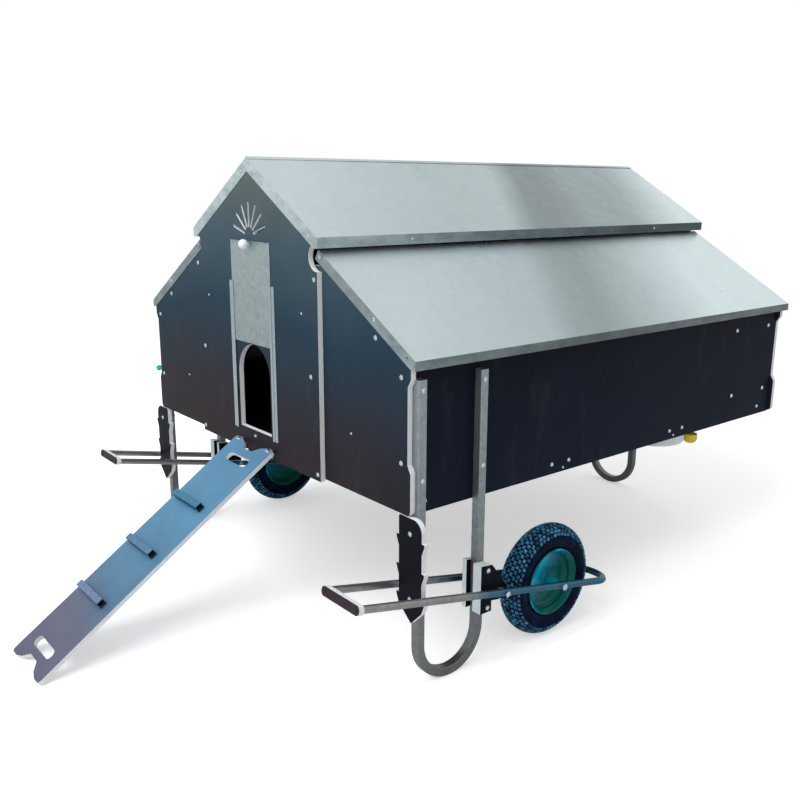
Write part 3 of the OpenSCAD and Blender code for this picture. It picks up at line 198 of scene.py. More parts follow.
def relief(tree, shader, height, depth, strength):
    """Small bumps of the surface, so many metres deep."""
    made = step(tree, "Bump", {"Height": height, "Distance": depth, "Strength": strength})
    tree.links.new(made.outputs[0], shader.inputs["Normal"])


def cut_edge(tree, across_panel):
    """1 on the faces that stand square to the panel's own face, 0 on the face."""
    facing = step(tree, "VectorMath", {0: step(tree, "TexCoord").outputs["Normal"],
                                       1: across_panel}, operation="DOT_PRODUCT").outputs["Value"]
    size = step(tree, "Math", {0: facing}, operation="ABSOLUTE").outputs[0]
    return step(tree, "Math", {0: size, 1: 0.5}, operation="LESS_THAN").outputs[0]


def tint(red, green, blue):
    """A colour as it looks on a screen, 0 to 255, as the shader's own linear numbers."""
    return tuple((v / 255) ** 2.2 for v in (red, green, blue))


def bands(tree, along, low, high, stops, wander=0.10):
    """Colours that change along one direction of the piece, from low to high in metres."""
    spot = step(tree, "TexCoord").outputs["Object"]
    place = step(tree, "VectorMath", {0: spot, 1: along}, operation="DOT_PRODUCT").outputs["Value"]
    reach = wander * (high - low)
    drift = spread(tree, grain(tree, 1.1, 2, 0.5), -reach, reach, 0.3, 0.7)
    place = step(tree, "Math", {0: place, 1: drift}, operation="ADD").outputs[0]
    return ramp(tree, spread(tree, place, 0, 1, low, high), stops)


VENEER_WAVES = 6.5


def film_ply(name, across_panel, stops, along=(0, 0, 1), low=0.6, high=1.5, thickness=0.018,
             sheen=0.36, specular=0.06, worn=(120, 128, 134), core=(236, 241, 246)):
    """Film-faced plywood: the film's tones and scuffs on the faces, veneer layers on the edges."""
    made, tree, shader = finish(name, roughness=sheen, specular=specular)
    face = bands(tree, along, low, high, stops)
    rub = grain(tree, 14, 6, 0.7, (1, 1, 0.3))
    cloud = grain(tree, 2.3, 5, 0.65)
    face = blend_colour(tree, spread(tree, cloud, 0.0, 0.55, 0.45, 0.7), face,
                        (0.62, 0.64, 0.67), "MULTIPLY")
    scuff = spread(tree, rub, 0.0, 0.07, 0.55, 0.85)
    face = blend_colour(tree, scuff, face, tint(*worn))
    scratch = grain(tree, 3.5, 8, 0.75, (6, 6, 0.5))
    face = blend_colour(tree, spread(tree, scratch, 0.0, 0.10, 0.66, 0.72), face, tint(*worn))
    spot = step(tree, "TexCoord").outputs["Object"]
    depth = step(tree, "VectorMath", {0: spot, 1: across_panel},
                 operation="DOT_PRODUCT").outputs["Value"]
    layer = step(tree, "Math", {0: depth, 1: math.tau * VENEER_WAVES / thickness},
                 operation="MULTIPLY").outputs[0]
    wave = step(tree, "Math", {0: layer}, operation="SINE").outputs[0]
    veneer = ramp(tree, spread(tree, wave, 0, 1, -1, 1),
                  [(0.08, tint(168, 162, 158)), (0.30, tint(*core)), (1.0, tint(*core))])
    fleck = grain(tree, 90, 3, 0.6)
    veneer = blend_colour(tree, spread(tree, fleck, 0, 0.30, 0.5, 0.8), veneer, tint(176, 168, 162))
    edge = cut_edge(tree, across_panel)
    tree.links.new(blend_colour(tree, edge, face, veneer), shader.inputs["Base Color"])
    polish = spread(tree, rub, sheen - 0.05, sheen + 0.14)
    rough = step(tree, "Mix", {0: edge, 2: polish, 3: 0.75}, data_type="FLOAT").outputs[0]
    tree.links.new(rough, shader.inputs["Roughness"])
    relief(tree, shader, rub, 0.0002, 0.3)
    return made


node = frame["nodes"]
body_of = {name: body for body, names in frame["record"]["behaviour"]["bodies"].items()
           for name in names}


def stand_for(piece, name, *materials):
    """Puts a finished mesh in the place of one of the model's own pieces."""
    for material in materials:
        piece.data.materials.append(material)
    scene.collection.objects.link(piece)
    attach(piece, body_of[name])
    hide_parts(name)


def plain_mesh(draft):
    """The mesh that an object's modifiers end in, free of the modifiers."""
    finished = draft.evaluated_get(bpy.context.evaluated_depsgraph_get())
    return bpy.data.meshes.new_from_object(finished)


def evened(shape, name, sharp=50):
    """A mesh whose flat faces shade flat, with only the eased corners turning the light."""
    mesh = bpy.data.meshes.new(name + "_shape")
    shape.to_mesh(mesh)
    shape.free()
    mesh.shade_smooth()
    mesh.set_sharp_from_angle(angle=math.radians(sharp))
    draft = bpy.data.objects.new(name + "_draft", mesh)
    scene.collection.objects.link(draft)
    weigh = draft.modifiers.new("weigh", "WEIGHTED_NORMAL")
    weigh.keep_sharp = True
    weigh.weight = 100
    bpy.context.view_layer.update()
    made = plain_mesh(draft)
    bpy.data.objects.remove(draft)
    return bpy.data.objects.new(name + "_finished", made)


def merged(name):
    """The model's own mesh of one piece, copied and joined at its corners."""
    shape = bmesh.new()
    shape.from_mesh(node[name].data)
    bmesh.ops.remove_doubles(shape, verts=shape.verts, dist=2e-6)
    return shape


FLAT_WITHIN, CORNER_FROM = math.radians(0.6), math.radians(28)


def eased(name, material, ease=0.0008, edge_highlight=None):
    """A piece with its sharp edges rounded over, as sanded plywood or folded sheet has them.
    A second material, when given, is a painted highlight on the rounded edges.
    """
    shape = merged(name)
    bmesh.ops.dissolve_limit(shape, angle_limit=FLAT_WITHIN, verts=shape.verts, edges=shape.edges)
    corners = [edge for edge in shape.edges
               if len(edge.link_faces) == 2 and edge.calc_face_angle() > CORNER_FROM]
    bmesh.ops.bevel(shape, geom=corners, offset=ease, offset_type="OFFSET", segments=2,
                    profile=0.6, affect="EDGES", clamp_overlap=True, material=1 if edge_highlight else -1)
    stand_for(evened(shape, name), name, material, *([edge_highlight] if edge_highlight else []))


# The film grows lighter towards the top in a painted sheen, and is darker towards the bottom.
end_film = film_ply("end_panel_film", (0, 1, 0),
                    [(0.0, tint(42, 36, 42)), (0.18, tint(40, 42, 50)), (0.45, tint(36, 56, 70)),
                     (0.75, tint(62, 80, 90)), (1.0, tint(84, 94, 94))])
for name in ("front_gable", "rear_gable", "front_wing_left", "front_wing_right",
             "rear_wing_left", "rear_wing_right"):
    eased(name, end_film)


# Notched plates: one at the front upright of each side leg, bolted through the tube.
# The same plywood, sawn with a row of notches along both edges, and near black.
plate_film = film_ply("notch_plate_film", (0, 1, 0),
                      [(0.0, tint(22, 20, 26)), (1.0, tint(26, 26, 34))],
                      low=0.1, high=0.6, specular=0.04)
for name in ("notch_plate_left", "notch_plate_right"):
    eased(name, plate_film)


# Side walls: one low, long panel on each side, bolted to the wing panels and the legs.
# The same plywood, of a deep blue-black film with a painted shade that darkens it a little under
# the lids' eaves.
side_film = film_ply("side_panel_film", (1, 0, 0),
                     [(0.0, tint(26, 33, 46)), (0.6, tint(24, 31, 43)), (1.0, tint(22, 24, 30))],
                     high=1.1, specular=0.04)
for name in ("side_wall_left", "side_wall_right"):
    eased(name, side_film)


# Pivot blocks: cheeks of plywood on both sides of the rear upright, which carry the lever.
# Black film outside, and bright new cuts on their edges.
block_film = film_ply("pivot_block_film", (1, 0, 0),
                      [(0.0, tint(18, 22, 30)), (1.0, tint(22, 28, 36))],
                      low=0.1, high=0.4, specular=0.04, core=(226, 246, 255))
for name in ("pivot_blocks_left", "pivot_blocks_right"):
    eased(name, block_film)


# Floor: one panel between the walls, with the round opening for the water tank.
# Film-faced plywood in dark brown, held on steel angles.
floor_film = film_ply("floor_panel_film", (0, 0, 1),
                      [(0.0, tint(30, 24, 20)), (1.0, tint(36, 30, 26))],
                      along=(0, 1, 0), low=-1.0, high=1.0)
eased("floor_panel", floor_film)


# Upper roof: two sheets over the formers, the left one folded over the ridge.
# Galvanised steel sheet with turned-down flanges: blurred reflections painted in broad bands of
# tone, a fine spangle, flanges with painted light and shade, and folds with a painted highlight.
# Screwed down through the flat of the sheet.
HOUSE_LONG = 2.076


def galvanised(name, stops, roughness, spangle_scale=34.0, metallic=0.75, painted_side_light=None,
               along=(0, 1, 0), low=FRONT_Y, high=FRONT_Y + HOUSE_LONG, mottle=0.05, wander=0.015,
               streak=0.12):
    """Zinc-coated steel in bands of tone; the optional tones of ends and eaves turned down
    are painted light and shade.
    """
    made, tree, shader = finish(name, metallic=metallic, roughness=roughness)
    spot = step(tree, "TexCoord").outputs["Object"]
    spangle = step(tree, "TexVoronoi", {"Vector": spot, "Scale": spangle_scale})
    shade = step(tree, "SeparateColor", {0: spangle.outputs["Color"]}).outputs[0]
    base = bands(tree, along, low, high, stops, wander)
    # Faces turned down and endways: lit and shaded copies of the tone, as painted light and shade.
    if painted_side_light:
        way = step(tree, "SeparateXYZ", {0: step(tree, "TexCoord").outputs["Normal"]})
        at_eave = step(tree, "Math", {0: way.outputs["Z"], 1: 0.6},
                       operation="LESS_THAN").outputs[0]
        endways = step(tree, "Math", {0: way.outputs["Y"]}, operation="ABSOLUTE").outputs[0]
        at_end = step(tree, "Math", {0: endways, 1: 0.5}, operation="GREATER_THAN").outputs[0]
        end_tone, eave_stops = painted_side_light
        eave = bands(tree, along, low, high, eave_stops, wander)
        down = blend_colour(tree, at_end, eave, end_tone)
        blotch = spread(tree, grain(tree, 9, 6, 0.7, (1, 1, 2)), 0.75, 0.0, 0.38, 0.60)
        down = blend_colour(tree, blotch, down, (0.55, 0.58, 0.60), "MULTIPLY")
        base = blend_colour(tree, at_eave, base, down)
    base = blend_colour(tree, spread(tree, shade, 0.0, mottle), base, (0.55, 0.60, 0.62),
                        "MULTIPLY")
    smear = grain(tree, 5, 4, 0.6, (0.4, 1.4, 1))
    base = blend_colour(tree, spread(tree, smear, 0.0, streak, 0.5, 0.8), base,
                        (0.80, 0.82, 0.83), "MULTIPLY")
    tree.links.new(base, shader.inputs["Base Color"])
    dull = step(tree, "Math", {0: spread(tree, smear, -0.06, 0.10),
                               1: spread(tree, shade, roughness - 0.04, roughness + 0.05)},
                operation="ADD").outputs[0]
    tree.links.new(dull, shader.inputs["Roughness"])
    relief(tree, shader, grain(tree, 3.1, 2, 0.5), 0.0012, 0.3)
    return made


def leaning(lean, middle_z):
    """Painted reflection bands that cross the house, leaning back so many metres for each metre of
    height.
    """
    return {"along": (0, 1, -lean), "low": FRONT_Y - lean * middle_z,
            "high": FRONT_Y + HOUSE_LONG - lean * middle_z}


# Painted highlight: pale zinc for the rounded folds of the sheets, brighter than the sheet itself.
fold_highlight_zinc = galvanised("painted_fold_highlight", [(0.0, tint(222, 236, 240)), (1.0, tint(206, 220, 224))],
                       0.30)
# The bands of tone along the sheet are painted blurred reflections, leaning back with height; its
# ends and eaves take painted light and shade.
roof_zinc = galvanised(
    "roof_sheet",
    [(0.0, tint(186, 199, 202)), (0.28, tint(168, 182, 185)), (0.44, tint(168, 182, 185)),
     (0.51, tint(122, 135, 137)), (0.57, tint(119, 132, 134)), (0.67, tint(140, 153, 156)),
     (0.81, tint(144, 158, 160)), (0.97, tint(206, 220, 222))], 0.30,
    painted_side_light=(tint(196, 210, 213),
            [(0.0, tint(180, 196, 200)), (0.4, tint(112, 128, 132)), (0.8, tint(76, 90, 94))]),
    **leaning(0.9, 1.41))
for name in ("roof_left", "roof_right"):
    eased(name, roof_zinc, 0.0009, edge_highlight=fold_highlight_zinc)


# Lids: one long sheet over the nests on each side, with a flange all round, which swings up on a
# pin at each end under the upper roof's eave. The same galvanised sheet, on timber battens.
# The lid's bands of tone along the house are painted blurred reflections, and its ends and eaves
# take painted light and shade.
lid_zinc = galvanised(
    "lid_sheet",
    [(0.0, tint(184, 199, 202)), (0.28, tint(168, 182, 185)), (0.35, tint(142, 155, 158)),
     (0.41, tint(136, 149, 152)), (0.54, tint(166, 180, 183)), (0.74, tint(207, 222, 225))], 0.30,
    painted_side_light=(tint(150, 164, 168),
            [(0.0, tint(132, 146, 148)), (0.4, tint(100, 110, 114)), (0.8, tint(124, 130, 134))]),
    **leaning(1.1, 1.02))
for name in ("lid_left", "lid_right"):
    eased(name, lid_zinc, 0.0009, edge_highlight=fold_highlight_zinc)


# Pop-hole door: a plain galvanised sheet that slides up and down between two folded guides, which
# are screwed to the centre panel. Duller than the roof, with a coarse spangle.
door_zinc = galvanised("door_sheet", [(0.0, tint(152, 167, 169)), (1.0, tint(166, 180, 182))],
                       0.46, 60, along=(0, 0, 1), low=0.95, high=1.32, mottle=0.35)
eased("pop_door", door_zinc, 0.0004)
guide_zinc = galvanised("guide_sheet", [(0.0, tint(158, 174, 180)), (1.0, tint(172, 190, 197))],
                        0.40, 60)
# The guides' folds carry the painted highlight too.
for name in ("door_guide_left", "door_guide_right"):
    eased(name, guide_zinc, 0.0004, edge_highlight=fold_highlight_zinc)


# Legs: one bent tube at each side and one at the rear, bolted to the panels.
# Hot-dip galvanised square tube, bent cold, with a dull silvery skin that is greyer low down.
leg_zinc = galvanised(
    "leg_tube",
    [(0.0, tint(112, 114, 115)), (0.35, tint(126, 130, 132)), (1.0, tint(152, 163, 167))],
    0.36, 80, along=(0, 0, 1), low=0.0, high=1.0, mottle=0.4)
for name in ("leg_left", "leg_right", "leg_rear"):
    eased(name, leg_zinc, 0.0006)


# Levers: round tube bent into a long loop round each wheel, turning on the pivot bolt.
# Galvanised, warm grey at the hand bar and bluish behind the pivot.
lever_zinc = galvanised(
    "lever_tube",
    [(0.0, tint(150, 148, 148)), (0.50, tint(134, 134, 136)), (0.57, tint(56, 100, 122)),
     (1.0, tint(44, 96, 118))],
    0.30, 80, low=-1.10, high=0.25, mottle=0.4, wander=0.02)
for name in ("lever_left", "lever_right"):
    eased(name, lever_zinc, 0.0003)


# Ramp treads: three short lengths of square tube, screwed across the ramp board.
# Galvanised, pale blue on top in a painted sky reflection, with painted shade on the side that
# faces down the ramp.
tread_side_shade = tint(48, 90, 116)
tread_zinc = galvanised(
    "tread_tube", [(0.0, tint(122, 134, 172)), (1.0, tint(66, 130, 160))], 0.42, 80,
    painted_side_light=(tread_side_shade, [(0.0, tread_side_shade), (1.0, tread_side_shade)]),
    along=(0, 0, 1), low=0.15, high=0.42, mottle=0.3)
eased("ramp_treads", tread_zinc, 0.0005)


# Fasteners: dome-headed bolts with a hexagon socket, washer and nut, and small pan-head screws.
# Bright zinc-plated steel. Each solid of a fastener group gives the place, direction, grip and
# head size of one fastener, and one node tree lays them all.
bright_zinc = galvanised("bright_zinc", [(0.0, tint(196, 210, 220)), (1.0, tint(206, 220, 230))],
                         0.18, 220, 0.95)
AROUND = 16
SMOOTH_UNDER = math.radians(40)
UNDER_HEAD = -0.0002


def turned(shape, rings):
    """Faces between rings of points, each (radius, height, hexagon share)."""
    rows = []
    for radius, height, hexagon in rings:
        row = []
        for k in range(AROUND):
            a = math.tau * k / AROUND
            fit = math.cos(math.pi / 6) / math.cos((a + math.pi / 6) % (math.pi / 3) - math.pi / 6)
            reach = radius * (1 + hexagon * (fit - 1))
            row.append(shape.verts.new((reach * math.cos(a), reach * math.sin(a), height)))
        rows.append(row)
    for low, high in zip(rows, rows[1:]):
        for k in range(AROUND):
            shape.faces.new((low[k - 1], low[k], high[k], high[k - 1]))
    shape.faces.new(rows[-1])
    shape.faces.new(list(reversed(rows[0])))


def pattern(name, parts):
    """One finished fastener along Z, seated at 0, for the node tree to copy."""
    shape = bmesh.new()
    for rings in parts:
        turned(shape, rings)
    bmesh.ops.recalc_face_normals(shape, faces=shape.faces)
    mesh = bpy.data.meshes.new(name)
    shape.to_mesh(mesh)
    shape.free()
    mesh.shade_smooth()
    mesh.set_sharp_from_angle(angle=SMOOTH_UNDER)
    return bpy.data.objects.new(name, mesh)


def dome_bolt(head, height, shank, length, nut_reach, nut_top, nut_end):
    """Domed head with a washer flange and a hexagon socket, its shank, and a nut if it has one."""
    dome = [(shank * 0.9, UNDER_HEAD, 0), (head, 0.0, 0), (head, height * 0.18, 0),
            (head * 0.84, height * 0.26, 0), (head * 0.80, height * 0.55, 0),
            (head * 0.62, height * 0.86, 0), (head * 0.44, height, 0),
            (head * 0.34, height * 0.98, 1), (head * 0.30, height * 0.5, 1)]
    rod = [(shank, height * 0.3, 0), (shank, -length + shank * 0.6, 0), (shank * 0.6, -length, 0)]
    parts = [dome, rod]
    if nut_reach:
        chamfer = (nut_top - nut_end) * 0.1
        parts.append([(nut_reach * 0.86, nut_end, 1), (nut_reach, nut_end + chamfer, 1),
                      (nut_reach, nut_top - chamfer, 1), (nut_reach * 0.86, nut_top, 1)])
    return pattern("dome_bolt", parts)


def pan_screw(head, height, shank, length):
    """Low rounded head with a hexagon socket, and a shank with a point."""
    pan = [(shank * 0.9, UNDER_HEAD, 0), (head, 0.0, 0), (head * 0.98, height * 0.45, 0),
           (head * 0.8, height * 0.85, 0), (head * 0.5, height, 0),
           (head * 0.42, height * 0.95, 1), (head * 0.30, height * 0.4, 1)]
    rod = [(shank, height * 0.3, 0), (shank, -length + shank * 2, 0), (shank * 0.15, -length, 0)]
    return pattern("pan_screw", [pan, rod])


def new_tree(name, inputs):
    """An empty node tree that takes and gives a mesh, with its other inputs named."""
    tree = bpy.data.node_groups.new(name, "GeometryNodeTree")
    for label, kind in (("Geometry", "Geometry"), *inputs):
        tree.interface.new_socket(label, in_out="INPUT", socket_type="NodeSocket" + kind)
    tree.interface.new_socket("Geometry", in_out="OUTPUT", socket_type="NodeSocketGeometry")
    return tree


repeat = new_tree("fasteners_on_spots", (("Fastener", "Object"), ("Plating", "Material")))
entry = repeat.nodes.new("NodeGroupInput")
facing = chain(repeat, "GeometryNodeInputNamedAttribute", {"Name": "facing"},
               data_type="FLOAT_VECTOR")
aim = chain(repeat, "FunctionNodeAlignRotationToVector", {"Vector": facing.outputs["Attribute"]},
            axis="Z")
shape_in = chain(repeat, "GeometryNodeObjectInfo", {"Object": entry.outputs["Fastener"]})
placed = chain(repeat, "GeometryNodeInstanceOnPoints", {"Points": entry.outputs["Geometry"],
               "Instance": shape_in.outputs["Geometry"], "Rotation": aim.outputs[0]})
solid = chain(repeat, "GeometryNodeRealizeInstances", {0: placed.outputs[0]})
plated = chain(repeat, "GeometryNodeSetMaterial", {"Geometry": solid.outputs[0],
               "Material": entry.outputs["Plating"]})
done = repeat.nodes.new("NodeGroupOutput")
repeat.links.new(plated.outputs[0], done.inputs[0])


def grown(mesh, tree, name, values):
    """Runs a node tree on a mesh with its named inputs set, and returns the plain mesh."""
    seed = bpy.data.objects.new(name + "_spots", mesh)
    scene.collection.objects.link(seed)
    maker = seed.modifiers.new("grow", "NODES")
    maker.node_group = tree
    for item in tree.interface.items_tree:
        if item.item_type == "SOCKET" and item.in_out == "INPUT" and item.name in values:
            maker[item.identifier] = values[item.name]
    bpy.context.view_layer.update()
    result = plain_mesh(seed)
    bpy.data.objects.remove(seed)
    return result


def loose_parts(name):
    """The corner points of each separate solid of one group."""
    shape = merged(name)
    shape.verts.ensure_lookup_table()
    shape.verts.index_update()
    seen_verts, parts = set(), []
    for start in range(len(shape.verts)):
        if start in seen_verts:
            continue
        seen_verts.add(start)
        queue = [start]
        for index in queue:
            for edge in shape.verts[index].link_edges:
                other = edge.other_vert(shape.verts[index]).index
                if other not in seen_verts:
                    seen_verts.add(other)
                    queue.append(other)
        parts.append(numpy.array([shape.verts[index].co[:] for index in queue]))
    shape.free()
    return parts


TALLEST_HEAD, LEAST_GRIP, SAME_LEVEL, SMALLEST_DOME = 0.009, 0.004, 2e-5, 0.0055


def read_fastener(points):
    """(place, direction out of the house, kind of fastener as a tuple of sizes) of one solid."""
    middle = points.mean(axis=0)
    sizes, ways = numpy.linalg.eigh(numpy.cov((points - middle).T))
    way = ways[:, 2] if sizes[2] - sizes[1] > sizes[1] - sizes[0] else ways[:, 0]
    if way @ (middle - numpy.array(HOUSE_MIDDLE)) < 0:
        way = -way
    level = (points - middle) @ way
    away = numpy.linalg.norm((points - middle) - numpy.outer(level, way), axis=1)
    near_top = level > level.max() - TALLEST_HEAD
    head = away[near_top].max()
    seat_level = level[near_top & (away > 0.9 * head)].min()
    at_seat = (abs(level - seat_level) < SAME_LEVEL) & (away < 0.8 * head)
    shank = away[at_seat].max() if at_seat.any() else head * 0.5
    below = (level < seat_level - LEAST_GRIP) & (away > shank * 1.2)
    nut = (0, 0, 0)
    if below.any():
        nut = (away[below].max(), level[below].max() - seat_level,
               level[below].min() - seat_level)
    place = middle + way * seat_level
    kind = (head, level.max() - seat_level, shank, seat_level - level.min()) + nut
    return place, way, tuple(round(float(v), 4) for v in kind)


fastener_of = {}


def fastened(name):
    """Lays one finished fastener on each solid of a group of fasteners."""
    spots = {}
    for points in loose_parts(name):
        place, way, kind = read_fastener(points)
        spots.setdefault(kind, []).append((place, way))
    joined = bmesh.new()
    for kind, found in sorted(spots.items()):
        if kind not in fastener_of:
            fastener_of[kind] = (dome_bolt(*kind) if kind[0] > SMALLEST_DOME
                                 else pan_screw(*kind[:4]))
        mesh = bpy.data.meshes.new(name + "_spots")
        mesh.from_pydata([tuple(place) for place, _ in found], [], [])
        way_out = mesh.attributes.new("facing", "FLOAT_VECTOR", "POINT")
        for k, (_, way) in enumerate(found):
            way_out.data[k].vector = way
        joined.from_mesh(grown(mesh, repeat, name, {"Fastener": fastener_of[kind],
                                                    "Plating": bright_zinc}))
    mesh = bpy.data.meshes.new(name + "_finished")
    joined.to_mesh(mesh)
    joined.free()
    mesh.shade_smooth()
    mesh.set_sharp_from_angle(angle=SMOOTH_UNDER)
    stand_for(bpy.data.objects.new(name + "_finished", mesh), name, bright_zinc)


for name in ("panel_bolts", "side_bolts", "leg_bolts", "roof_screws", "lid_screws_left",
             "lid_screws_right", "guide_screws", "panel_screws"):
    fastened(name)


# Brackets, hinges, pins and axles: the floor's angles, the pivot bolts with their spacers, the
# lids' pins, the ramp's brackets and strap hinges, and the wheels' axle bolts.
# Zinc-plated steel like the bolts, cut, bent and drilled.
for name in ("floor_brackets", "pivot_bolt_left", "pivot_bolt_right", "lid_pins", "ramp_brackets",
             "ramp_hinges", "axle_left", "axle_right"):
    eased(name, bright_zinc, 0.0004)


# Timber: roof formers under the upper sheets, perches across the cabin and battens under the
# lids. Planed softwood, screwed or let into the panels, with its grain along each piece.
def softwood(name, stretch):
    """Planed softwood, with its grain drawn out along one direction."""
    made, tree, shader = finish(name, roughness=0.62, specular=0.3)
    line = grain(tree, 30, 6, 0.6, stretch)
    tree.links.new(ramp(tree, line, [(0.3, (0.42, 0.26, 0.13)), (0.5, (0.60, 0.42, 0.24)),
                                     (0.75, (0.70, 0.53, 0.33))]), shader.inputs["Base Color"])
    relief(tree, shader, line, 0.0003, 0.5)
    return made


lengthways = softwood("timber_lengthways", (1, 0.04, 1))
crossways = softwood("timber_crossways", (0.05, 1, 1))
eased("perches", lengthways, 0.001)
for name in ("roof_formers", "lid_battens_left", "lid_battens_right"):
    eased(name, crossways, 0.001)


# Nests: a long board in front of each row of nests, and dividers between them.
# The side walls' plywood, resting on the floor.
for name in ("nest_boards", "nest_dividers"):
    eased(name, side_film, 0.001)


# Ramp: one plywood board with hand slots at both ends, hung on two hinges under the pop-hole.
# Film-faced, with a painted sky reflection: blue-grey above, fading to purple-grey towards its
# foot.
RAMP_TILT = math.radians(34.28)
ramp_film = film_ply("ramp_film", (0, -math.sin(RAMP_TILT), math.cos(RAMP_TILT)),
                     [(0.0, tint(92, 92, 112)), (0.16, tint(94, 98, 118)),
                      (0.32, tint(80, 116, 144)), (0.6, tint(82, 130, 162)),
                      (1.0, tint(84, 130, 162))],
                     along=(0, math.cos(RAMP_TILT), math.sin(RAMP_TILT)), low=-1.22, high=-0.13,
                     thickness=0.015, sheen=0.42, specular=0.2, worn=(150, 160, 172))
eased("ramp_board", ramp_film, 0.0012)


# Hand bars: a flat bar of plywood that joins the two ends of each lever's tube.
# Black film, rounded over for the hand and worn a little brown.
LEVER_TILT = math.radians(12)
bar_film = film_ply("hand_bar_film", (0, math.cos(LEVER_TILT), -math.sin(LEVER_TILT)),
                    [(0.0, tint(42, 40, 46)), (1.0, tint(56, 46, 54))], low=0.0, high=0.4)
for name in ("handle_left", "handle_right"):
    eased(name, bar_film, 0.0012)


# Tyres: rubber, 400 mm across, with rows of small blocks over the crown and shoulders.
# The plain round section ends where it meets the rim, and one pitch of the tread is repeated
# round the axle by a node tree.
BLOCKS, ROWS_EACH_SIDE = 60, 4
ROW_ANGLE, BLOCK_HALF_ANGLE, BLOCK_LEAN = (math.radians(a) for a in (15.5, 5.9, 0.55))
CARCASS_IN, BLOCK_TOP_IN, BEAD_R = 0.0045, 0.0002, 0.104


def tyre_ring(shape, centre, middle_r, section_r, bead_r, around=120, across=28):
    """The tyre without its blocks: a round section, cut off where it meets the rim."""
    half = math.acos((bead_r - middle_r) / section_r)
    angles = [-half + 2 * half * k / across for k in range(across + 1)]
    rows = []
    for j in range(around):
        t = math.tau * j / around
        ring = [(section_r * math.sin(a), middle_r + section_r * math.cos(a)) for a in angles]
        rows.append([shape.verts.new((centre[0] + x, centre[1] + r * math.cos(t),
                                      centre[2] + r * math.sin(t))) for x, r in ring])
    for j in range(around):
        here, there = rows[j - 1], rows[j]
        for k in range(across):
            shape.faces.new((here[k], here[k + 1], there[k + 1], there[k]))
        shape.faces.new((here[across], here[0], there[0], there[across]))


def tread_pitch(middle_r, section_r, top_r):
    """One row of blocks across the tyre, each row shifted by half a pitch from its neighbour."""
    shape = bmesh.new()
    for row in range(-ROWS_EACH_SIDE, ROWS_EACH_SIDE + 1):
        tilt = ROW_ANGLE * row
        half_long = math.pi / BLOCKS * (0.70 if row % 2 else 0.64)
        middle = math.pi / BLOCKS * (row % 2)
        lean = BLOCK_LEAN * row / ROWS_EACH_SIDE
        rings = []
        for level, inset in ((section_r - 0.0015, 0.0), (top_r - 0.0009, 0.03), (top_r, 0.16)):
            ring = []
            for u, w in ((-1, -1), (1, -1), (1, 1), (-1, 1)):
                a = tilt + u * BLOCK_HALF_ANGLE * (1 - inset)
                t = middle + w * half_long * (1 - inset) + lean * u
                r = middle_r + level * math.cos(a)
                ring.append(shape.verts.new((level * math.sin(a), r * math.cos(t),
                                             r * math.sin(t))))
            rings.append(ring)
        for low, high in zip(rings, rings[1:]):
            for k in range(4):
                shape.faces.new((low[k - 1], low[k], high[k], high[k - 1]))
        shape.faces.new(rings[-1])
        shape.faces.new(list(reversed(rings[0])))
    bmesh.ops.recalc_face_normals(shape, faces=shape.faces)
    mesh = bpy.data.meshes.new("tread_pitch")
    shape.to_mesh(mesh)
    shape.free()
    return mesh


wheel_turn = new_tree("pitch_round_the_axle", (("Pitches", "Int"), ("Rubber", "Material")))
entry = wheel_turn.nodes.new("NodeGroupInput")
points = chain(wheel_turn, "GeometryNodePoints", {"Count": entry.outputs["Pitches"]})
number = chain(wheel_turn, "GeometryNodeInputIndex")
share = step(wheel_turn, "Math", {0: number.outputs[0], 1: entry.outputs["Pitches"]},
             operation="DIVIDE")
angle = step(wheel_turn, "Math", {0: share.outputs[0], 1: math.tau}, operation="MULTIPLY")
about = chain(wheel_turn, "FunctionNodeAxisAngleToRotation",
              {"Axis": (1, 0, 0), "Angle": angle.outputs[0]})
placed = chain(wheel_turn, "GeometryNodeInstanceOnPoints", {"Points": points.outputs[0],
               "Instance": entry.outputs["Geometry"], "Rotation": about.outputs[0]})
solid = chain(wheel_turn, "GeometryNodeRealizeInstances", {0: placed.outputs[0]})
black = chain(wheel_turn, "GeometryNodeSetMaterial", {"Geometry": solid.outputs[0],
              "Material": entry.outputs["Rubber"]})
done = wheel_turn.nodes.new("NodeGroupOutput")
wheel_turn.links.new(black.outputs[0], done.inputs[0])


def rubber_like(name, dark, light, specular, speck=22):
    """Matt rubber in specks between a dark and a light tone, which paint its sheen and highlights.
    """
    made, tree, shader = finish(name, roughness=0.5, specular=specular)
    sheen_specks = grain(tree, speck, 5, 0.7)
    tree.links.new(ramp(tree, sheen_specks, [(0.42, dark), (0.70, light)]), shader.inputs["Base Color"])
    tree.links.new(spread(tree, sheen_specks, 0.45, 0.65), shader.inputs["Roughness"])
    relief(tree, shader, sheen_specks, 0.0003, 0.4)
    return made
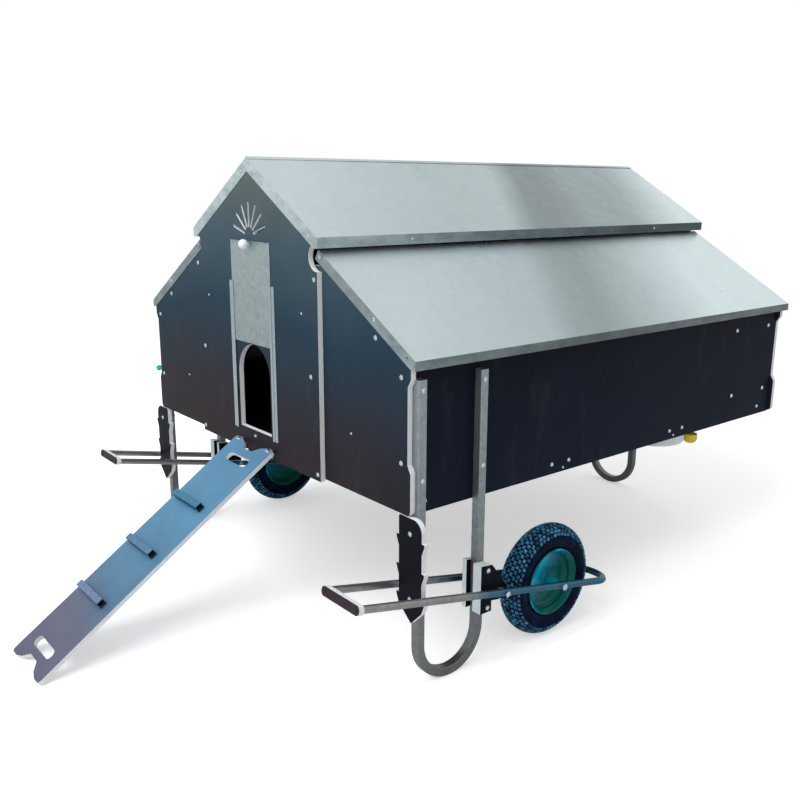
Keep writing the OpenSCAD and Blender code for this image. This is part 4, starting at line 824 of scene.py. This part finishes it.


# Painted sheen: the blue in both rubbers; painted highlights: the light specks on the tread blocks.
rubber = rubber_like("tyre_rubber", tint(4, 16, 32), tint(8, 36, 66), 0.05)
block_rubber = rubber_like("tread_rubber", tint(8, 36, 58), tint(80, 164, 206), 0.25, speck=48)
for name in ("tyre_left", "tyre_right"):
    low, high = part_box(name)
    centre = (Vector(low) + Vector(high)) / 2
    outer, section = (high[2] - low[2]) / 2, (high[0] - low[0]) / 2
    shape = bmesh.new()
    tyre_ring(shape, centre, outer - section, section - CARCASS_IN, BEAD_R)
    bmesh.ops.recalc_face_normals(shape, faces=shape.faces)
    pitch = tread_pitch(outer - section, section - CARCASS_IN, section - BLOCK_TOP_IN)
    blocks = grown(pitch, wheel_turn, name, {"Pitches": BLOCKS, "Rubber": block_rubber})
    blocks.transform(Matrix.Translation(centre))
    carcass = len(shape.faces)
    shape.from_mesh(blocks)
    shape.faces.ensure_lookup_table()
    for face in shape.faces[carcass:]:
        face.material_index = 1
    stand_for(evened(shape, name, 32), name, rubber, block_rubber)


# Rims: pressed steel in deep green gloss paint, with a dished centre on the axle bolt.
# A painted glint in cyan-blue crosses the paint towards the front and top.
rim_paint, tree, shader = finish("rim_paint", roughness=0.26, specular=0.14, coat=0.06)
low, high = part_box("rim_right")
gleam_way = Vector((0, -0.8, 0.6))
gleam_mid = gleam_way.dot((Vector(low) + Vector(high)) / 2)
rim_r = (high[2] - low[2]) / 2
tree.links.new(bands(tree, gleam_way, gleam_mid - rim_r, gleam_mid + rim_r,
                     [(0.30, tint(0, 92, 84)), (0.48, tint(0, 98, 108)), (0.64, tint(0, 128, 148)),
                      (0.74, tint(10, 180, 212)), (0.84, tint(0, 92, 96))], wander=0.12),
               shader.inputs["Base Color"])
for name in ("rim_left", "rim_right"):
    eased(name, rim_paint, 0.0006)


# Plastic pieces: the water tank in the floor with its cap and drinking cup, the ball on the
# door and the hand knob on the left leg. Moulded, with a faint grain and a satin finish.
def moulded(name, tone, roughness):
    """Plastic of one colour, a little darker in places."""
    made, tree, shader = finish(name, roughness=roughness)
    darker = tuple(v * 0.88 for v in tone)
    tree.links.new(ramp(tree, grain(tree, 18, 4), [(0.3, darker), (0.7, tone)]),
                   shader.inputs["Base Color"])
    relief(tree, shader, grain(tree, 240, 2), 0.0001, 0.3)
    return made


white_plastic = moulded("tank_plastic", tint(232, 240, 244), 0.42)
for name in ("water_tank", "tank_cap", "door_ball"):
    eased(name, white_plastic, 0.0004)
eased("drinking_cup", moulded("cup_plastic", tint(236, 204, 40), 0.3), 0.0004)
eased("hand_knob", moulded("knob_plastic", tint(20, 168, 152), 0.35), 0.0006)
